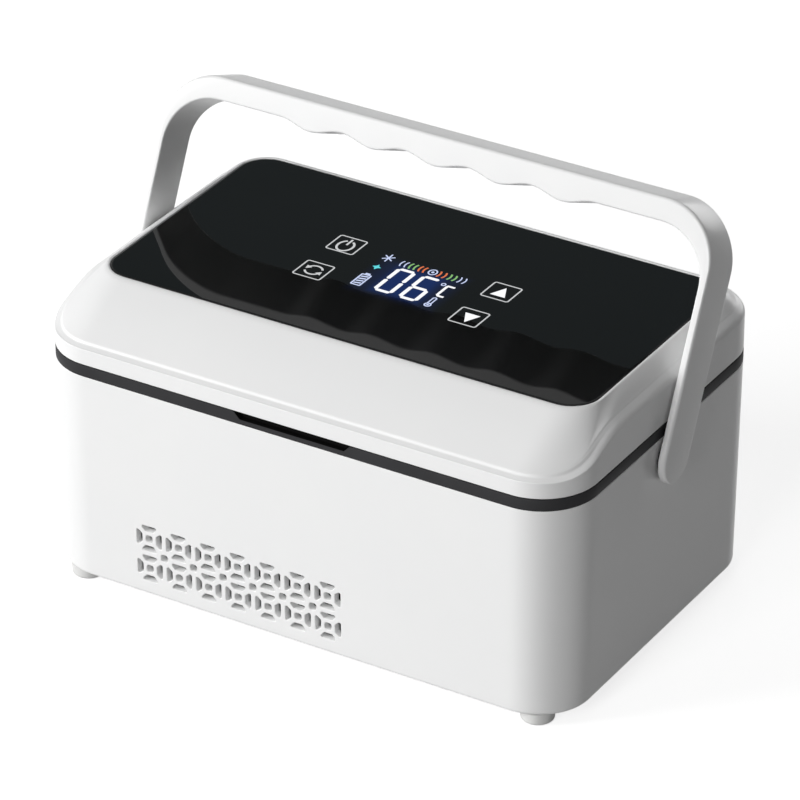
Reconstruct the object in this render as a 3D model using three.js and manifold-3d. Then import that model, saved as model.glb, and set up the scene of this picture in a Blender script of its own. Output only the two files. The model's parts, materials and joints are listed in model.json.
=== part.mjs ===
// Insulin cooling case: a thermoelectric cool box with a hinged lid, a touch panel and a carrying handle.
// Millimetres, +Z up, the front towards -Y, the feet standing on z = 0.
import * as THREE from "three";
import { mergeGeometries, mergeVertices } from "three/addons/utils/BufferGeometryUtils.js";
import Module from "manifold-3d";

const wasm = await Module();
wasm.setup();

// Case, at the seam with the lid
const caseLength = 220;
const caseDepth = 146;
const caseCorner = 22;
const caseHeight = 84;
const caseDraft = 1.2;
const caseWall = 2.8;
const caseBottomRound = 1.5;
const caseLip = 4.2;
const caseLipHeight = 4;

// Feet and base plate
const footHeight = 4.6;
const footTopRadius = 6.4;
const footBottomRadius = 6.2;
const footRound = 1.2;
const footInsetX = 15.2;
const footInsetY = 9.8;
const basePlateThickness = 2.2;
const basePlateEar = 4;
const baseBossRadius = 4.4;
const baseBossHeight = 26;
const bossRib = 2;
const postRadius = 3;
const intakeSlots = 7;
const intakePitch = 7;
const intakeWidth = 3;

// Seam frame, with the fingernail notch at the front
const bandHeight = 4.6;
const bandThickness = 3;
const deckThickness = 2.6;
const tongueThickness = 1.5;
const tongueHeight = 2;
const notchLength = 48;
const notchHeight = 2.6;
const notchDepth = 2.4;

// Cold chamber, inside its insulation
const chamberInset = 21;
const chamberCorner = 12;
const linerWall = 1;
const linerFlange = 6;
const foamFloor = 7.4;

// Front vents: cells of four petals round a hole, with a hole where four cells meet
const ventColumns = 7;
const ventRows = 2;
const ventPitch = 12.6;
const ventCentreX = -24;
const ventCentreHeight = 17.5;
const petalReach = 5.3;
const petalRoot = 3;
const petalOuterWidth = 7.2;
const petalInnerWidth = 3.3;
const ventHoleRadius = 1.45;

// Cooling stack under the chamber floor, behind the vents
const coolerFromFront = 45;
const peltierSize = 40;
const peltierHeight = 3.6;
const sinkLength = 84;
const sinkDepth = 72;
const sinkBaseHeight = 4;
const finCount = 14;
const finThickness = 1.4;
const finHeight = 13.2;
const fanSize = 60;
const fanHeight = 15;
const fanCorner = 4;
const fanRim = 1.8;
const fanStrut = 2;
const fanHoleInset = 5;
const fanHoleRadius = 2.1;
const fanHubRadius = 12.5;
const fanTipGap = 1.6;
const fanBladeCount = 7;
const fanBladePitch = 42;
const fanBladeChord = 11;
const fanBladeThickness = 1.3;
const fanPostHeight = 2.7;

// Electronics bay
const boardLength = 116;
const boardDepth = 38;
const boardThickness = 1.6;
const boardX = 8;
const boardFromRear = 28;
const boardPostHeight = 6;
const boardPostInset = 5;
const boardRearRow = 7.5;
const boardFrontRow = -10;
const capacitorRadius = 4;
const capacitorHeight = 11;
const capacitorX = -46;
const capacitorPitch = 10;
const filterX = 14;
const filterRadius = 3.2;
const filterHeight = 8;
const coilX = -20;
const coilSide = 13;
const coilHeight = 7;
const relayX = -2;
const relaySide = 10;
const relayHeight = 4.5;
const chipX = -10;
const chipSide = 9;
const chipHeight = 1.4;
const driverX = 10;
const driverSide = 6.5;
const driverHeight = 1.2;
const boardPlugLength = 12;
const boardPlugDepth = 6;
const boardPlugHeight = 7;
const boardPlugRow = -12;
const fanPlugX = -42;
const panelPlugX = 28;
const batteryPlugX = 46;
const socketFromBoard = 37;
const socketWidth = 10;
const socketHeight = 10.8;
const socketLength = 14;
const socketBack = 3;
const socketNoseRadius = 4;
const socketBoreRadius = 2.8;
const socketPinRadius = 0.9;
const cellRadius = 9.25;
const cellLength = 66;
const cellCount = 3;
const wrapHeight = 13;
const batteryFromSide = 44;
const batteryFromFront = 49;
const cradleThickness = 1.6;
const cradleHeight = 9;

// Lid
const lidGap = 0.3;
const lidRim = 7;
const lidHeight = 22.2;
const shoulderDrop = 5;
const lidWall = 2.2;
const lidEdgeRound = 1.4;
const lidFrontRise = 0.9;
const lidSideRise = 3.2;
const lidLedge = 1.6;
const lidRiserHeight = 0.85;
const lidRiserRun = 0.8;
const lidShoulderBulge = 0.5;
const crestStartInset = 5;
const crestEndInset = 40.7;
const glassSideMargin = 9.85;
const glassFrontMargin = 29.35;
const glassRearMargin = 10.15;
const glassCorner = 11.3;
const glassThickness = 2;
const glassBorder = 1.2;
const lidRoofInset = 7.4;
const lidRoofCorner = 14;
const glassSeat = 1.8;
const lidPlateThickness = 2.5;
const lidPlateRise = 1.8;
const plugDepth = 5.2;
const plugWall = 2;
const gasketWidth = 4;
const gasketOffset = 3;
const lidBossInsetX = 13;
const lidBossInsetY = 15;
const lidBossRadius = 3.6;
const lidScrewLength = 8;

// Touch panel electronics, under the glass
const panelOffset = -3.6;
const keyX = 33;
const keyRowSpacing = 23;
const touchPadRadius = 4;
const windowMargin = 5.5;
const touchBoardMargin = 9;
const touchBoardDrop = 6;
const displayLength = 44;
const displayDepth = 32;

// Rear hinges
const hingeFromEnd = 50;
const hingeBarrelRadius = 2.8;
const hingePinRadius = 1.4;
const lidKnuckleLength = 16;
const frameKnuckleLength = 9;
const knuckleGap = 0.4;
const neckHeight = 2.6;

// Handle: a leaning bail on two pivots, with a finger wave under its bar
const handleLean = 24.8;
const handleClearance = 1.3;
const handleOuterCorner = 22;
const handleInnerCorner = 17.5;
const handleBarHeight = 8.7;
const handleWidth = 19.6;
const armThickness = 3;
const armGap = 1.2;
const pivotBelowBand = 9;
const fingerPitch = 26.2;
const fingerCount = 5;
const fingerDepth = 2.6;
const barFrontRound = 1.5;
const barRearRound = 1.5;
const stubRadius = 5;
const bushWall = 1.4;
const bushFlangeRadius = 8;
const bushLength = 5;
const washerThickness = 1.2;
const washerRadius = 7.4;

// Screws and clearances
const screwRadius = 1.4;
const screwHeadRadius = 2.7;
const screwHeadHeight = 1.6;
const screwLength = 10;
const pilotClearance = 0.1;
const fitGap = 0.3;
const runningGap = 0.1;
const plugGap = 1.2;
const past = 1;

// Facets of a case corner, of the lid's side edges, and of round pieces
const cornerSteps = 6;
const lidSideSteps = 6;
const roundSides = 18;
const smallSides = 16;
const screwSides = 10;
const waveSteps = 6;

// Levels that follow from the sizes, from the feet up
const caseBottom = footHeight;
const bandBottom = caseBottom + caseHeight;
const bandTop = bandBottom + bandHeight;
const deckBottom = bandTop - deckThickness;
const basePlateBottom = caseBottom;
const basePlateTop = basePlateBottom + basePlateThickness;
const fanBottom = basePlateTop + fanPostHeight;
const fanTop = fanBottom + fanHeight;
const finBottom = fanTop + fitGap;
const sinkTop = finBottom + finHeight + sinkBaseHeight;
const peltierTop = sinkTop + peltierHeight;
const foamBottom = sinkTop + fitGap;
const linerBottom = foamBottom + foamFloor + fitGap;
const chamberFloor = linerBottom + linerWall;
const lidBottom = bandTop + lidGap;
const lidShoulder = lidHeight - shoulderDrop;
const glassTop = bandTop + lidHeight;
const glassBottom = glassTop - glassThickness;
const lidRoof = glassBottom - glassSeat;
const lidPlateBottom = bandTop + lidPlateRise;
const lidPlateTop = lidPlateBottom + lidPlateThickness;
const touchBoardTop = lidRoof - touchBoardDrop;
const touchBoardBottom = touchBoardTop - boardThickness;
const boardBottom = basePlateTop + boardPostHeight;
const boardTop = boardBottom + boardThickness;
const socketZ = boardTop + socketHeight / 2;

// Places that follow from the sizes
const footX = caseLength / 2 - footInsetX;
const footY = caseDepth / 2 - footInsetY;
const coolerX = ventCentreX;
const coolerY = coolerFromFront - caseDepth / 2;
const fanDuctRadius = fanSize / 2 - fanRim;
const fanBladeReach = fanDuctRadius - fanTipGap;
const boardY = caseDepth / 2 - boardFromRear;
const socketX = boardX + socketFromBoard;
const batteryX = caseLength / 2 - batteryFromSide;
const batteryY = batteryFromFront - caseDepth / 2;
const crestStart = crestStartInset - caseDepth / 2;
const crestEnd = crestEndInset - caseDepth / 2;
const glassLength = caseLength - 2 * glassSideMargin;
const glassDepth = caseDepth - glassFrontMargin - glassRearMargin;
const glassY = (glassFrontMargin - glassRearMargin) / 2;
const lidBossX = caseLength / 2 - lidBossInsetX;
const lidBossY = caseDepth / 2 - lidBossInsetY;
const panelY = glassY + panelOffset;
const touchWindowLength = 2 * (keyX + touchPadRadius + windowMargin);
const touchWindowDepth = keyRowSpacing + 2 * (touchPadRadius + windowMargin);
const touchBoardLength = touchWindowLength + 2 * touchBoardMargin;
const touchBoardDepth = touchWindowDepth + 2 * touchBoardMargin;
const hingeX = caseLength / 2 - hingeFromEnd;
const hingeY = caseDepth / 2 + hingeBarrelRadius + knuckleGap;
const hingeZ = bandTop + lidGap / 2;
const pivotZ = bandBottom - pivotBelowBand;
const pivotInside = caseLength / 2 - bushLength - fitGap;
const bushOuter = stubRadius + runningGap + bushWall;
const bushFlange = armGap - pilotClearance - fitGap;
const armInner = caseLength / 2 + armGap;
const armOuter = armInner + armThickness;
const lidFrontReach = Math.hypot(caseDepth / 2, bandTop + lidRim - pivotZ);
const barUnder = lidFrontReach + handleClearance + fingerDepth;
const handleReach = barUnder + handleBarHeight;
const barEnd = armInner - handleInnerCorner;

const degrees = (angle) => (angle * Math.PI) / 180;
const draftAt = (z) => (caseDraft * (bandBottom - z)) / caseHeight;

// Outlines are rounded rectangles: length along X, depth along Y, centred on x = 0.
const seamOutline = { length: caseLength, depth: caseDepth, radius: caseCorner, y: 0 };
const chamberOutline = {
  length: caseLength - 2 * chamberInset,
  depth: caseDepth - 2 * chamberInset,
  radius: chamberCorner,
  y: 0,
};
const glassOutline = { length: glassLength, depth: glassDepth, radius: glassCorner, y: glassY };

function grow(outline, by) {
  return {
    length: outline.length + 2 * by,
    depth: outline.depth + 2 * by,
    radius: Math.max(outline.radius + by, 0.5),
    y: outline.y,
  };
}

function outlinePoints(outline, sideSteps = 1) {
  const { length, depth, radius, y } = outline;
  const points = [];
  const reachX = length / 2 - radius;
  const reachY = depth / 2 - radius;
  const corners = [
    [1, -1, -90],
    [1, 1, 0],
    [-1, 1, 90],
    [-1, -1, 180],
  ];
  for (const [signX, signY, start] of corners) {
    for (let i = 0; i <= cornerSteps; i++) {
      const turn = degrees(start + (90 * i) / cornerSteps);
      const px = signX * reachX + radius * Math.cos(turn);
      const py = y + signY * reachY + radius * Math.sin(turn);
      points.push(new THREE.Vector2(px, py));
    }
    if (signX * signY > 0) continue;
    for (let i = 1; i < sideSteps; i++) {
      const py = y + signY * reachY * (1 - (2 * i) / sideSteps);
      points.push(new THREE.Vector2((signX * length) / 2, py));
    }
  }
  return points;
}

// A ring of a loft: an outline lifted to a level, or to a level that changes along the outline.
function ring(outline, level, sideSteps = 1) {
  return outlinePoints(outline, sideSteps).map(
    (p) => new THREE.Vector3(p.x, p.y, typeof level === "function" ? level(p) : level),
  );
}

// Turns a closed three.js geometry into a solid that can be joined and cut.
function solid(geometry) {
  const bare = new THREE.BufferGeometry();
  bare.setAttribute("position", geometry.getAttribute("position"));
  if (geometry.index) bare.setIndex(geometry.index);
  const merged = mergeVertices(bare, 1e-4);
  const shell = new wasm.Mesh({
    numProp: 3,
    vertProperties: new Float32Array(merged.getAttribute("position").array),
    triVerts: new Uint32Array(merged.index.array),
  });
  return new wasm.Manifold(shell);
}

function geometryOf(body) {
  const shell = body.getMesh();
  const geometry = new THREE.BufferGeometry();
  geometry.setAttribute("position", new THREE.BufferAttribute(shell.vertProperties, 3));
  geometry.setIndex(new THREE.BufferAttribute(shell.triVerts, 1));
  geometry.computeVertexNormals();
  return geometry;
}

// A closed body through rings of equal point count, bottom ring first, with flat ends.
function loft(rings) {
  const count = rings[0].length;
  const positions = [];
  const index = [];
  for (const points of rings) {
    for (const p of points) positions.push(p.x, p.y, p.z);
  }
  const middle = (points) => {
    const sum = points.reduce((total, p) => total.add(p), new THREE.Vector3());
    return sum.divideScalar(points.length);
  };
  const low = middle(rings[0]);
  const high = middle(rings[rings.length - 1]);
  const lowAt = rings.length * count;
  positions.push(low.x, low.y, low.z, high.x, high.y, high.z);
  const last = (rings.length - 1) * count;
  for (let j = 0; j < count; j++) {
    const next = (j + 1) % count;
    index.push(lowAt, next, j, lowAt + 1, last + j, last + next);
    for (let i = 0; i < rings.length - 1; i++) {
      const a = i * count;
      const b = a + count;
      index.push(a + j, a + next, b + next, a + j, b + next, b + j);
    }
  }
  const geometry = new THREE.BufferGeometry();
  geometry.setAttribute("position", new THREE.Float32BufferAttribute(positions, 3));
  geometry.setIndex(index);
  return solid(geometry);
}

function extruded(shape, depth, curveSegments = cornerSteps) {
  return new THREE.ExtrudeGeometry(shape, { depth, bevelEnabled: false, curveSegments });
}

function prism(outline, from, to) {
  const geometry = extruded(new THREE.Shape(outlinePoints(outline)), to - from);
  return solid(geometry.translate(0, 0, from));
}

function box(x, y, z) {
  const geometry = new THREE.BoxGeometry(x[1] - x[0], y[1] - y[0], z[1] - z[0]);
  return solid(geometry.translate((x[0] + x[1]) / 2, (y[0] + y[1]) / 2, (z[0] + z[1]) / 2));
}

function rodX(radius, from, to, y, z, sides = roundSides) {
  const geometry = new THREE.CylinderGeometry(radius, radius, Math.abs(to - from), sides);
  return solid(geometry.rotateZ(Math.PI / 2).translate((from + to) / 2, y, z));
}

function rodY(radius, from, to, x, z, sides = roundSides) {
  const geometry = new THREE.CylinderGeometry(radius, radius, to - from, sides);
  return solid(geometry.translate(x, (from + to) / 2, z));
}

function rodZ(radius, from, to, x, y, sides = roundSides) {
  const geometry = new THREE.CylinderGeometry(radius, radius, to - from, sides);
  return solid(geometry.rotateX(Math.PI / 2).translate(x, y, (from + to) / 2));
}

// A turned piece about Z, from a profile of [radius, height] points that starts and ends on the axis.
function turned(profile, x, y, sides = roundSides) {
  const points = profile.map(([radius, height]) => new THREE.Vector2(radius, height));
  const geometry = new THREE.LatheGeometry(points, sides).rotateX(Math.PI / 2);
  return solid(geometry.translate(x, y, 0));
}

const join = (first, ...others) => others.reduce((body, other) => body.add(other), first);
const cut = (first, ...others) => others.reduce((body, other) => body.subtract(other), first);

const finish = (color, roughness, metalness = 0) =>
  new THREE.MeshStandardMaterial({ color, roughness, metalness });
const whitePlastic = finish(0xf2f2f0, 0.25);
const darkPlastic = finish(0x2c2c2e, 0.5);
const blackGlass = finish(0x111315, 0.08);
const greyRubber = finish(0xc9c9c6, 0.7);
const aluminium = finish(0xc4c7ca, 0.35, 1);
const steel = finish(0x9ea2a6, 0.3, 1);
const whiteFoam = finish(0xe9e6dc, 0.9);
const circuitBoard = finish(0x1d5a34, 0.55);
const ceramic = finish(0xe6e4de, 0.6);
const blueWrap = finish(0x2a5f9e, 0.4);
const displayFilm = finish(0x13224a, 0.3);
const gasketRubber = finish(0x4a4a4c, 0.8);

const root = new THREE.Group();
const baseGroup = new THREE.Group();
const lidGroup = new THREE.Group();
const handleGroup = new THREE.Group();
const fanGroup = new THREE.Group();
root.add(baseGroup, lidGroup, handleGroup, fanGroup);

function piece(group, name, material, body) {
  const mesh = new THREE.Mesh(geometryOf(body), material);
  mesh.name = name;
  group.add(mesh);
}

const sides = [
  ["left", -1],
  ["right", 1],
];
const corners = [
  ["front_left", -1, -1],
  ["front_right", 1, -1],
  ["rear_left", -1, 1],
  ["rear_right", 1, 1],
];

// The case's wall at one level, drawn in by its draft and by a wall or a round.
const caseAt = (z, inward = 0) => grow(seamOutline, -draftAt(z) - inward);

function caseBody() {
  const lowest = caseBottom + caseBottomRound;
  const rings = [0, 30, 60].map((turn) => {
    const inward = caseBottomRound * (1 - Math.sin(degrees(turn)));
    const z = lowest - caseBottomRound * Math.cos(degrees(turn));
    return ring(caseAt(z, inward), z);
  });
  rings.push(ring(caseAt(lowest), lowest), ring(caseAt(bandBottom), bandBottom));
  return loft(rings);
}

function caseHollow() {
  const lipTop = caseBottom + caseLipHeight;
  const mouth = caseBottom - past;
  const top = bandBottom + past;
  return loft([
    ring(caseAt(caseBottom, caseLip), mouth),
    ring(caseAt(caseBottom, caseLip), lipTop),
    ring(caseAt(lipTop, caseWall), lipTop),
    ring(caseAt(top, caseWall), top),
  ]);
}

// One vent petal: a trapezium that narrows to the cell's middle, turned to its side of the cell.
function petal(x, z, turn) {
  const half = petalOuterWidth / 2;
  const inner = petalInnerWidth / 2;
  const points = [
    [-half, petalReach],
    [-inner, petalRoot],
    [inner, petalRoot],
    [half, petalReach],
  ].map(([across, out]) => {
    const spun = new THREE.Vector2(across, out).rotateAround(new THREE.Vector2(), degrees(turn));
    return spun.add(new THREE.Vector2(x, z));
  });
  return new THREE.Shape(points);
}

function ventHole(x, z) {
  return new THREE.Shape().absarc(x, z, ventHoleRadius, 0, 2 * Math.PI);
}

function ventCutters() {
  const shapes = [];
  const middle = caseBottom + ventCentreHeight;
  const columnX = (column) => ventCentreX + (column - (ventColumns - 1) / 2) * ventPitch;
  const rowZ = (row) => middle + (row - (ventRows - 1) / 2) * ventPitch;
  for (let column = 0; column < ventColumns; column++) {
    for (let row = 0; row < ventRows; row++) {
      const x = columnX(column);
      const z = rowZ(row);
      for (const turn of [0, 90, 180, 270]) shapes.push(petal(x, z, turn));
      shapes.push(ventHole(x, z));
    }
  }
  for (let column = 0; column < ventColumns - 1; column++) {
    for (let row = 0; row < ventRows - 1; row++) {
      shapes.push(ventHole(columnX(column) + ventPitch / 2, rowZ(row) + ventPitch / 2));
    }
  }
  const through = caseDraft + caseWall + 2 * past;
  const bodies = shapes.map((shape) => extruded(shape, through, 3));
  const merged = mergeGeometries(bodies);
  return solid(merged.rotateX(Math.PI / 2).translate(0, through - past - caseDepth / 2, 0));
}

function caseShell() {
  let shell = cut(caseBody(), caseHollow());
  const trim = caseBody();
  for (const [, sx, sy] of corners) {
    const top = basePlateTop + baseBossHeight;
    const recess = rodZ(
      basePlateEar + fitGap, caseBottom - past, basePlateTop, sx * footX, sy * footY, smallSides,
    );
    const boss = join(
      rodZ(baseBossRadius, basePlateTop, top, sx * footX, sy * footY, screwSides),
      box(
        [sx * footX - bossRib / 2, sx * footX + bossRib / 2],
        [Math.min(sy * footY, (sy * caseDepth) / 2), Math.max(sy * footY, (sy * caseDepth) / 2)],
        [basePlateTop, top],
      ),
    );
    const pilot = rodZ(
      screwRadius + pilotClearance, basePlateTop - past, basePlateTop + screwLength + past,
      sx * footX, sy * footY, screwSides,
    );
    shell = cut(join(cut(shell, recess), boss.intersect(trim)), pilot);
  }
  for (const [, sx] of sides) {
    const from = caseLength / 2 - caseWall - caseDraft - past;
    const to = caseLength / 2 + past;
    shell = cut(shell, rodX(bushOuter + fitGap, sx * from, sx * to, 0, pivotZ));
  }
  const rear = caseDepth / 2;
  const inlet = rodY(socketNoseRadius + fitGap, rear - caseDraft - caseWall - past, rear, socketX, socketZ);
  return cut(shell, inlet, ventCutters());
}

function basePlate() {
  let plate = prism(caseAt(caseBottom, caseLip + fitGap), basePlateBottom, basePlateTop);
  for (const [, sx, sy] of corners) {
    const spread = fanSize / 2 - fanHoleInset;
    const fanPost = rodZ(
      postRadius, basePlateTop, fanBottom, coolerX + sx * spread, coolerY + sy * spread, screwSides,
    );
    const boardPost = rodZ(
      postRadius, basePlateTop, boardBottom,
      boardX + sx * (boardLength / 2 - boardPostInset),
      boardY + sy * (boardDepth / 2 - boardPostInset),
      screwSides,
    );
    const ear = rodZ(basePlateEar, basePlateBottom, basePlateTop, sx * footX, sy * footY, smallSides);
    const hole = rodZ(
      screwRadius + fitGap, basePlateBottom - past, basePlateTop + past, sx * footX, sy * footY, screwSides,
    );
    plate = cut(join(plate, ear, fanPost, boardPost), hole);
  }
  for (let i = 0; i < intakeSlots; i++) {
    const x = coolerX + (i - (intakeSlots - 1) / 2) * intakePitch;
    const reach = Math.sqrt(fanDuctRadius ** 2 - (x - coolerX) ** 2) - intakeWidth;
    plate = cut(
      plate,
      box(
        [x - intakeWidth / 2, x + intakeWidth / 2],
        [coolerY - reach, coolerY + reach],
        [basePlateBottom - past, basePlateTop + past],
      ),
    );
  }
  for (const [, sx] of sides) {
    const inner = batteryX + sx * (cellCount * cellRadius + fitGap);
    const outer = inner + sx * cradleThickness;
    const rib = box(
      [Math.min(inner, outer), Math.max(inner, outer)],
      [batteryY - cellLength / 3, batteryY + cellLength / 3],
      [basePlateTop - past, basePlateTop + cradleHeight],
    );
    plate = join(plate, rib);
  }
  return plate;
}

// A screw that points up, its head's lower face at z = 0 before it is moved.
function screwBody(x, y, z, length = screwLength) {
  const head = rodZ(screwHeadRadius, z, z + screwHeadHeight, x, y, screwSides);
  return join(head, rodZ(screwRadius, z + screwHeadHeight / 2, z + length, x, y, screwSides));
}

function foot(x, y) {
  const wellRadius = screwHeadRadius + fitGap;
  const wellDepth = basePlateBottom - screwHeadHeight;
  const profile = [
    [0, 0],
    [footBottomRadius - footRound, 0],
    [footBottomRadius, footRound],
    [footTopRadius, basePlateBottom],
    [0, basePlateBottom],
  ];
  const well = rodZ(wellRadius, -past, wellDepth, x, y, screwSides);
  const shank = rodZ(screwRadius + fitGap, 0, basePlateBottom + past, x, y, screwSides);
  return cut(turned(profile, x, y, smallSides), well, shank);
}

function seamFrame() {
  const tongueOuter = grow(seamOutline, -caseWall - fitGap);
  const tongueBottom = bandBottom - tongueHeight;
  const tongueInner = grow(tongueOuter, -tongueThickness);
  let frame = join(
    prism(seamOutline, bandBottom, bandTop),
    prism(tongueOuter, tongueBottom, deckBottom),
  );
  frame = cut(
    frame,
    prism(tongueInner, tongueBottom - past, deckBottom),
    prism(chamberOutline, tongueBottom, bandTop + past),
  );
  const half = notchLength / 2;
  const floor = bandTop - notchHeight;
  const notch = new THREE.Shape([
    new THREE.Vector2(-half + notchHeight, floor),
    new THREE.Vector2(half - notchHeight, floor),
    new THREE.Vector2(half + past, bandTop + past),
    new THREE.Vector2(-half - past, bandTop + past),
  ]);
  const cutter = extruded(notch, notchDepth + past).rotateX(Math.PI / 2);
  frame = cut(frame, solid(cutter.translate(0, notchDepth - caseDepth / 2, 0)));
  for (const [, sx] of sides) {
    for (const end of [-1, 1]) {
      const near = lidKnuckleLength / 2 + knuckleGap;
      const x0 = sx * hingeX + end * near;
      const x1 = sx * hingeX + end * (near + frameKnuckleLength);
      const neck = box(
        [Math.min(x0, x1), Math.max(x0, x1)],
        [caseDepth / 2 - bandThickness, hingeY],
        [bandTop - neckHeight, bandTop - lidGap / 2],
      );
      frame = join(frame, neck, rodX(hingeBarrelRadius, x0, x1, hingeY, hingeZ, smallSides));
    }
    const reach = lidKnuckleLength / 2 + knuckleGap + frameKnuckleLength + past;
    const bore = rodX(
      hingePinRadius + runningGap, sx * hingeX - reach, sx * hingeX + reach, hingeY, hingeZ, smallSides,
    );
    const bushSpace = rodX(
      bushOuter + fitGap, sx * (pivotInside - past), sx * (caseLength / 2 - caseWall), 0, pivotZ,
    );
    frame = cut(frame, bore, bushSpace);
  }
  return frame;
}

function chamberLiner() {
  const outer = grow(chamberOutline, linerWall);
  const tub = join(
    prism(outer, linerBottom, deckBottom),
    prism(grow(outer, linerFlange), deckBottom - linerWall, deckBottom),
  );
  return cut(tub, prism(chamberOutline, chamberFloor, deckBottom + past));
}

function insulation() {
  const step = bandBottom - tongueHeight - fitGap;
  const top = deckBottom - linerWall;
  const gap = caseWall + fitGap;
  const narrow = caseWall + 2 * fitGap + tongueThickness;
  const jacket = loft([
    ring(caseAt(foamBottom, gap), foamBottom),
    ring(caseAt(step, gap), step),
    ring(caseAt(bandBottom, narrow), step),
    ring(caseAt(bandBottom, narrow), top),
  ]);
  const half = peltierSize / 2 + fitGap;
  const pocket = prism(grow(chamberOutline, linerWall + fitGap), linerBottom - fitGap, top + past);
  const stackHole = box(
    [coolerX - half, coolerX + half], [coolerY - half, coolerY + half], [foamBottom - past, linerBottom],
  );
  let foam = cut(jacket, pocket, stackHole);
  for (const [, sx] of sides) {
    const from = pivotInside - washerThickness - screwHeadHeight - past;
    foam = cut(foam, rodX(washerRadius + past, sx * from, sx * caseLength, 0, pivotZ));
  }
  return foam;
}

function heatSink() {
  const x = [coolerX - sinkLength / 2, coolerX + sinkLength / 2];
  const y = [coolerY - sinkDepth / 2, coolerY + sinkDepth / 2];
  const baseBottom = sinkTop - sinkBaseHeight;
  let sink = box(x, y, [baseBottom, sinkTop]);
  const pitch = (sinkLength - finThickness) / (finCount - 1);
  for (let i = 0; i < finCount; i++) {
    const left = x[0] + i * pitch;
    sink = join(sink, box([left, left + finThickness], y, [finBottom, baseBottom + past]));
  }
  return sink;
}

// The fan's pieces are drawn about their own axis and placed by the fan group.
function fanFrame() {
  const half = fanSize / 2;
  const square = { length: fanSize, depth: fanSize, radius: fanCorner, y: 0 };
  let frame = cut(prism(square, 0, fanHeight), rodZ(fanDuctRadius, -past, fanHeight + past, 0, 0));
  frame = join(frame, rodZ(fanHubRadius, 0, fanStrut, 0, 0, smallSides));
  const armLength = fanDuctRadius - fanHubRadius + 2 * past;
  for (const turn of [90, 210, 330]) {
    const arm = new THREE.BoxGeometry(armLength, 2 * fanStrut, fanStrut);
    arm.translate((fanDuctRadius + fanHubRadius) / 2, 0, fanStrut / 2);
    frame = join(frame, solid(arm.rotateZ(degrees(turn))));
  }
  for (const [, sx, sy] of corners) {
    const at = half - fanHoleInset;
    frame = cut(frame, rodZ(fanHoleRadius, -past, fanHeight + past, sx * at, sy * at, screwSides));
  }
  return cut(frame, rodZ(screwRadius + runningGap, -past, fanStrut + past, 0, 0, smallSides));
}

function fanRotor() {
  const low = fanStrut + fitGap;
  const high = fanHeight - past;
  let rotor = rodZ(fanHubRadius, low, high, 0, 0, smallSides);
  const bladeLength = fanBladeReach - fanHubRadius + past;
  for (let i = 0; i < fanBladeCount; i++) {
    const blade = new THREE.BoxGeometry(bladeLength, fanBladeChord, fanBladeThickness);
    blade.rotateX(degrees(fanBladePitch));
    blade.translate(fanBladeReach - bladeLength / 2, 0, (low + high) / 2);
    rotor = join(rotor, solid(blade.rotateZ((2 * Math.PI * i) / fanBladeCount)));
  }
  return join(rotor, rodZ(screwRadius, fitGap, low + past, 0, 0, smallSides));
}

function controlBoard() {
  const top = boardTop;
  let board = box(
    [boardX - boardLength / 2, boardX + boardLength / 2],
    [boardY - boardDepth / 2, boardY + boardDepth / 2],
    [boardBottom, top],
  );
  const block = (x, y, length, depth, height) =>
    box(
      [boardX + x - length / 2, boardX + x + length / 2],
      [boardY + y - depth / 2, boardY + y + depth / 2],
      [top - 0.2, top + height],
    );
  const can = (x, y, radius, height) =>
    rodZ(radius, top - 0.2, top + height, boardX + x, boardY + y, screwSides);
  board = join(
    board,
    can(capacitorX, boardRearRow, capacitorRadius, capacitorHeight),
    can(capacitorX + capacitorPitch, boardRearRow, capacitorRadius, capacitorHeight),
    can(filterX, boardRearRow, filterRadius, filterHeight),
    block(coilX, boardRearRow, coilSide, coilSide, coilHeight),
    block(relayX, boardRearRow, relaySide, relaySide, relayHeight),
    block(chipX, boardFrontRow, chipSide, chipSide, chipHeight),
    block(driverX, boardFrontRow, driverSide, driverSide, driverHeight),
    ...[fanPlugX, panelPlugX, batteryPlugX].map((x) =>
      block(x, boardPlugRow, boardPlugLength, boardPlugDepth, boardPlugHeight),
    ),
  );
  return board;
}

function powerSocket() {
  const rear = caseDepth / 2 - draftAt(socketZ);
  const backFace = rear - caseWall - fitGap;
  const half = socketWidth / 2;
  const low = socketZ - socketHeight / 2;
  const body = box(
    [socketX - half, socketX + half], [backFace - socketLength, backFace], [low, low + socketHeight],
  );
  const boreEnd = backFace - socketLength + socketBack;
  const nose = rodY(socketNoseRadius, backFace - past, rear, socketX, socketZ);
  const bore = rodY(socketBoreRadius, boreEnd, rear + past, socketX, socketZ);
  const pin = rodY(socketPinRadius, boreEnd - past, rear - past, socketX, socketZ, smallSides);
  return join(cut(join(body, nose), bore), pin);
}

function batteryPack() {
  const z = basePlateTop + cellRadius;
  const from = batteryY - cellLength / 2;
  const spread = 2 * cellRadius;
  const cells = [];
  for (let i = 0; i < cellCount; i++) {
    const x = batteryX + (i - (cellCount - 1) / 2) * spread;
    cells.push(rodY(cellRadius, from, from + cellLength, x, z, smallSides));
  }
  const span = ((cellCount - 1) * spread) / 2;
  const wrap = box(
    [batteryX - span, batteryX + span], [from, from + cellLength], [z - wrapHeight / 2, z + wrapHeight / 2],
  );
  return join(wrap, ...cells);
}

// Lid shell: a rim that follows the seam, a crest that dips to the front, a ledge with a low riser behind it,
// and a slope all round up to the glass.
function crestShare(point) {
  return THREE.MathUtils.smoothstep(point.y, crestStart, crestEnd);
}

function crest(point) {
  return bandTop + THREE.MathUtils.lerp(lidRim, lidShoulder, crestShare(point));
}

// Height of the round edge under the crest: small at the front, soft at the sides.
function crestRound(point) {
  return THREE.MathUtils.lerp(lidFrontRise, lidSideRise, crestShare(point));
}

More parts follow.
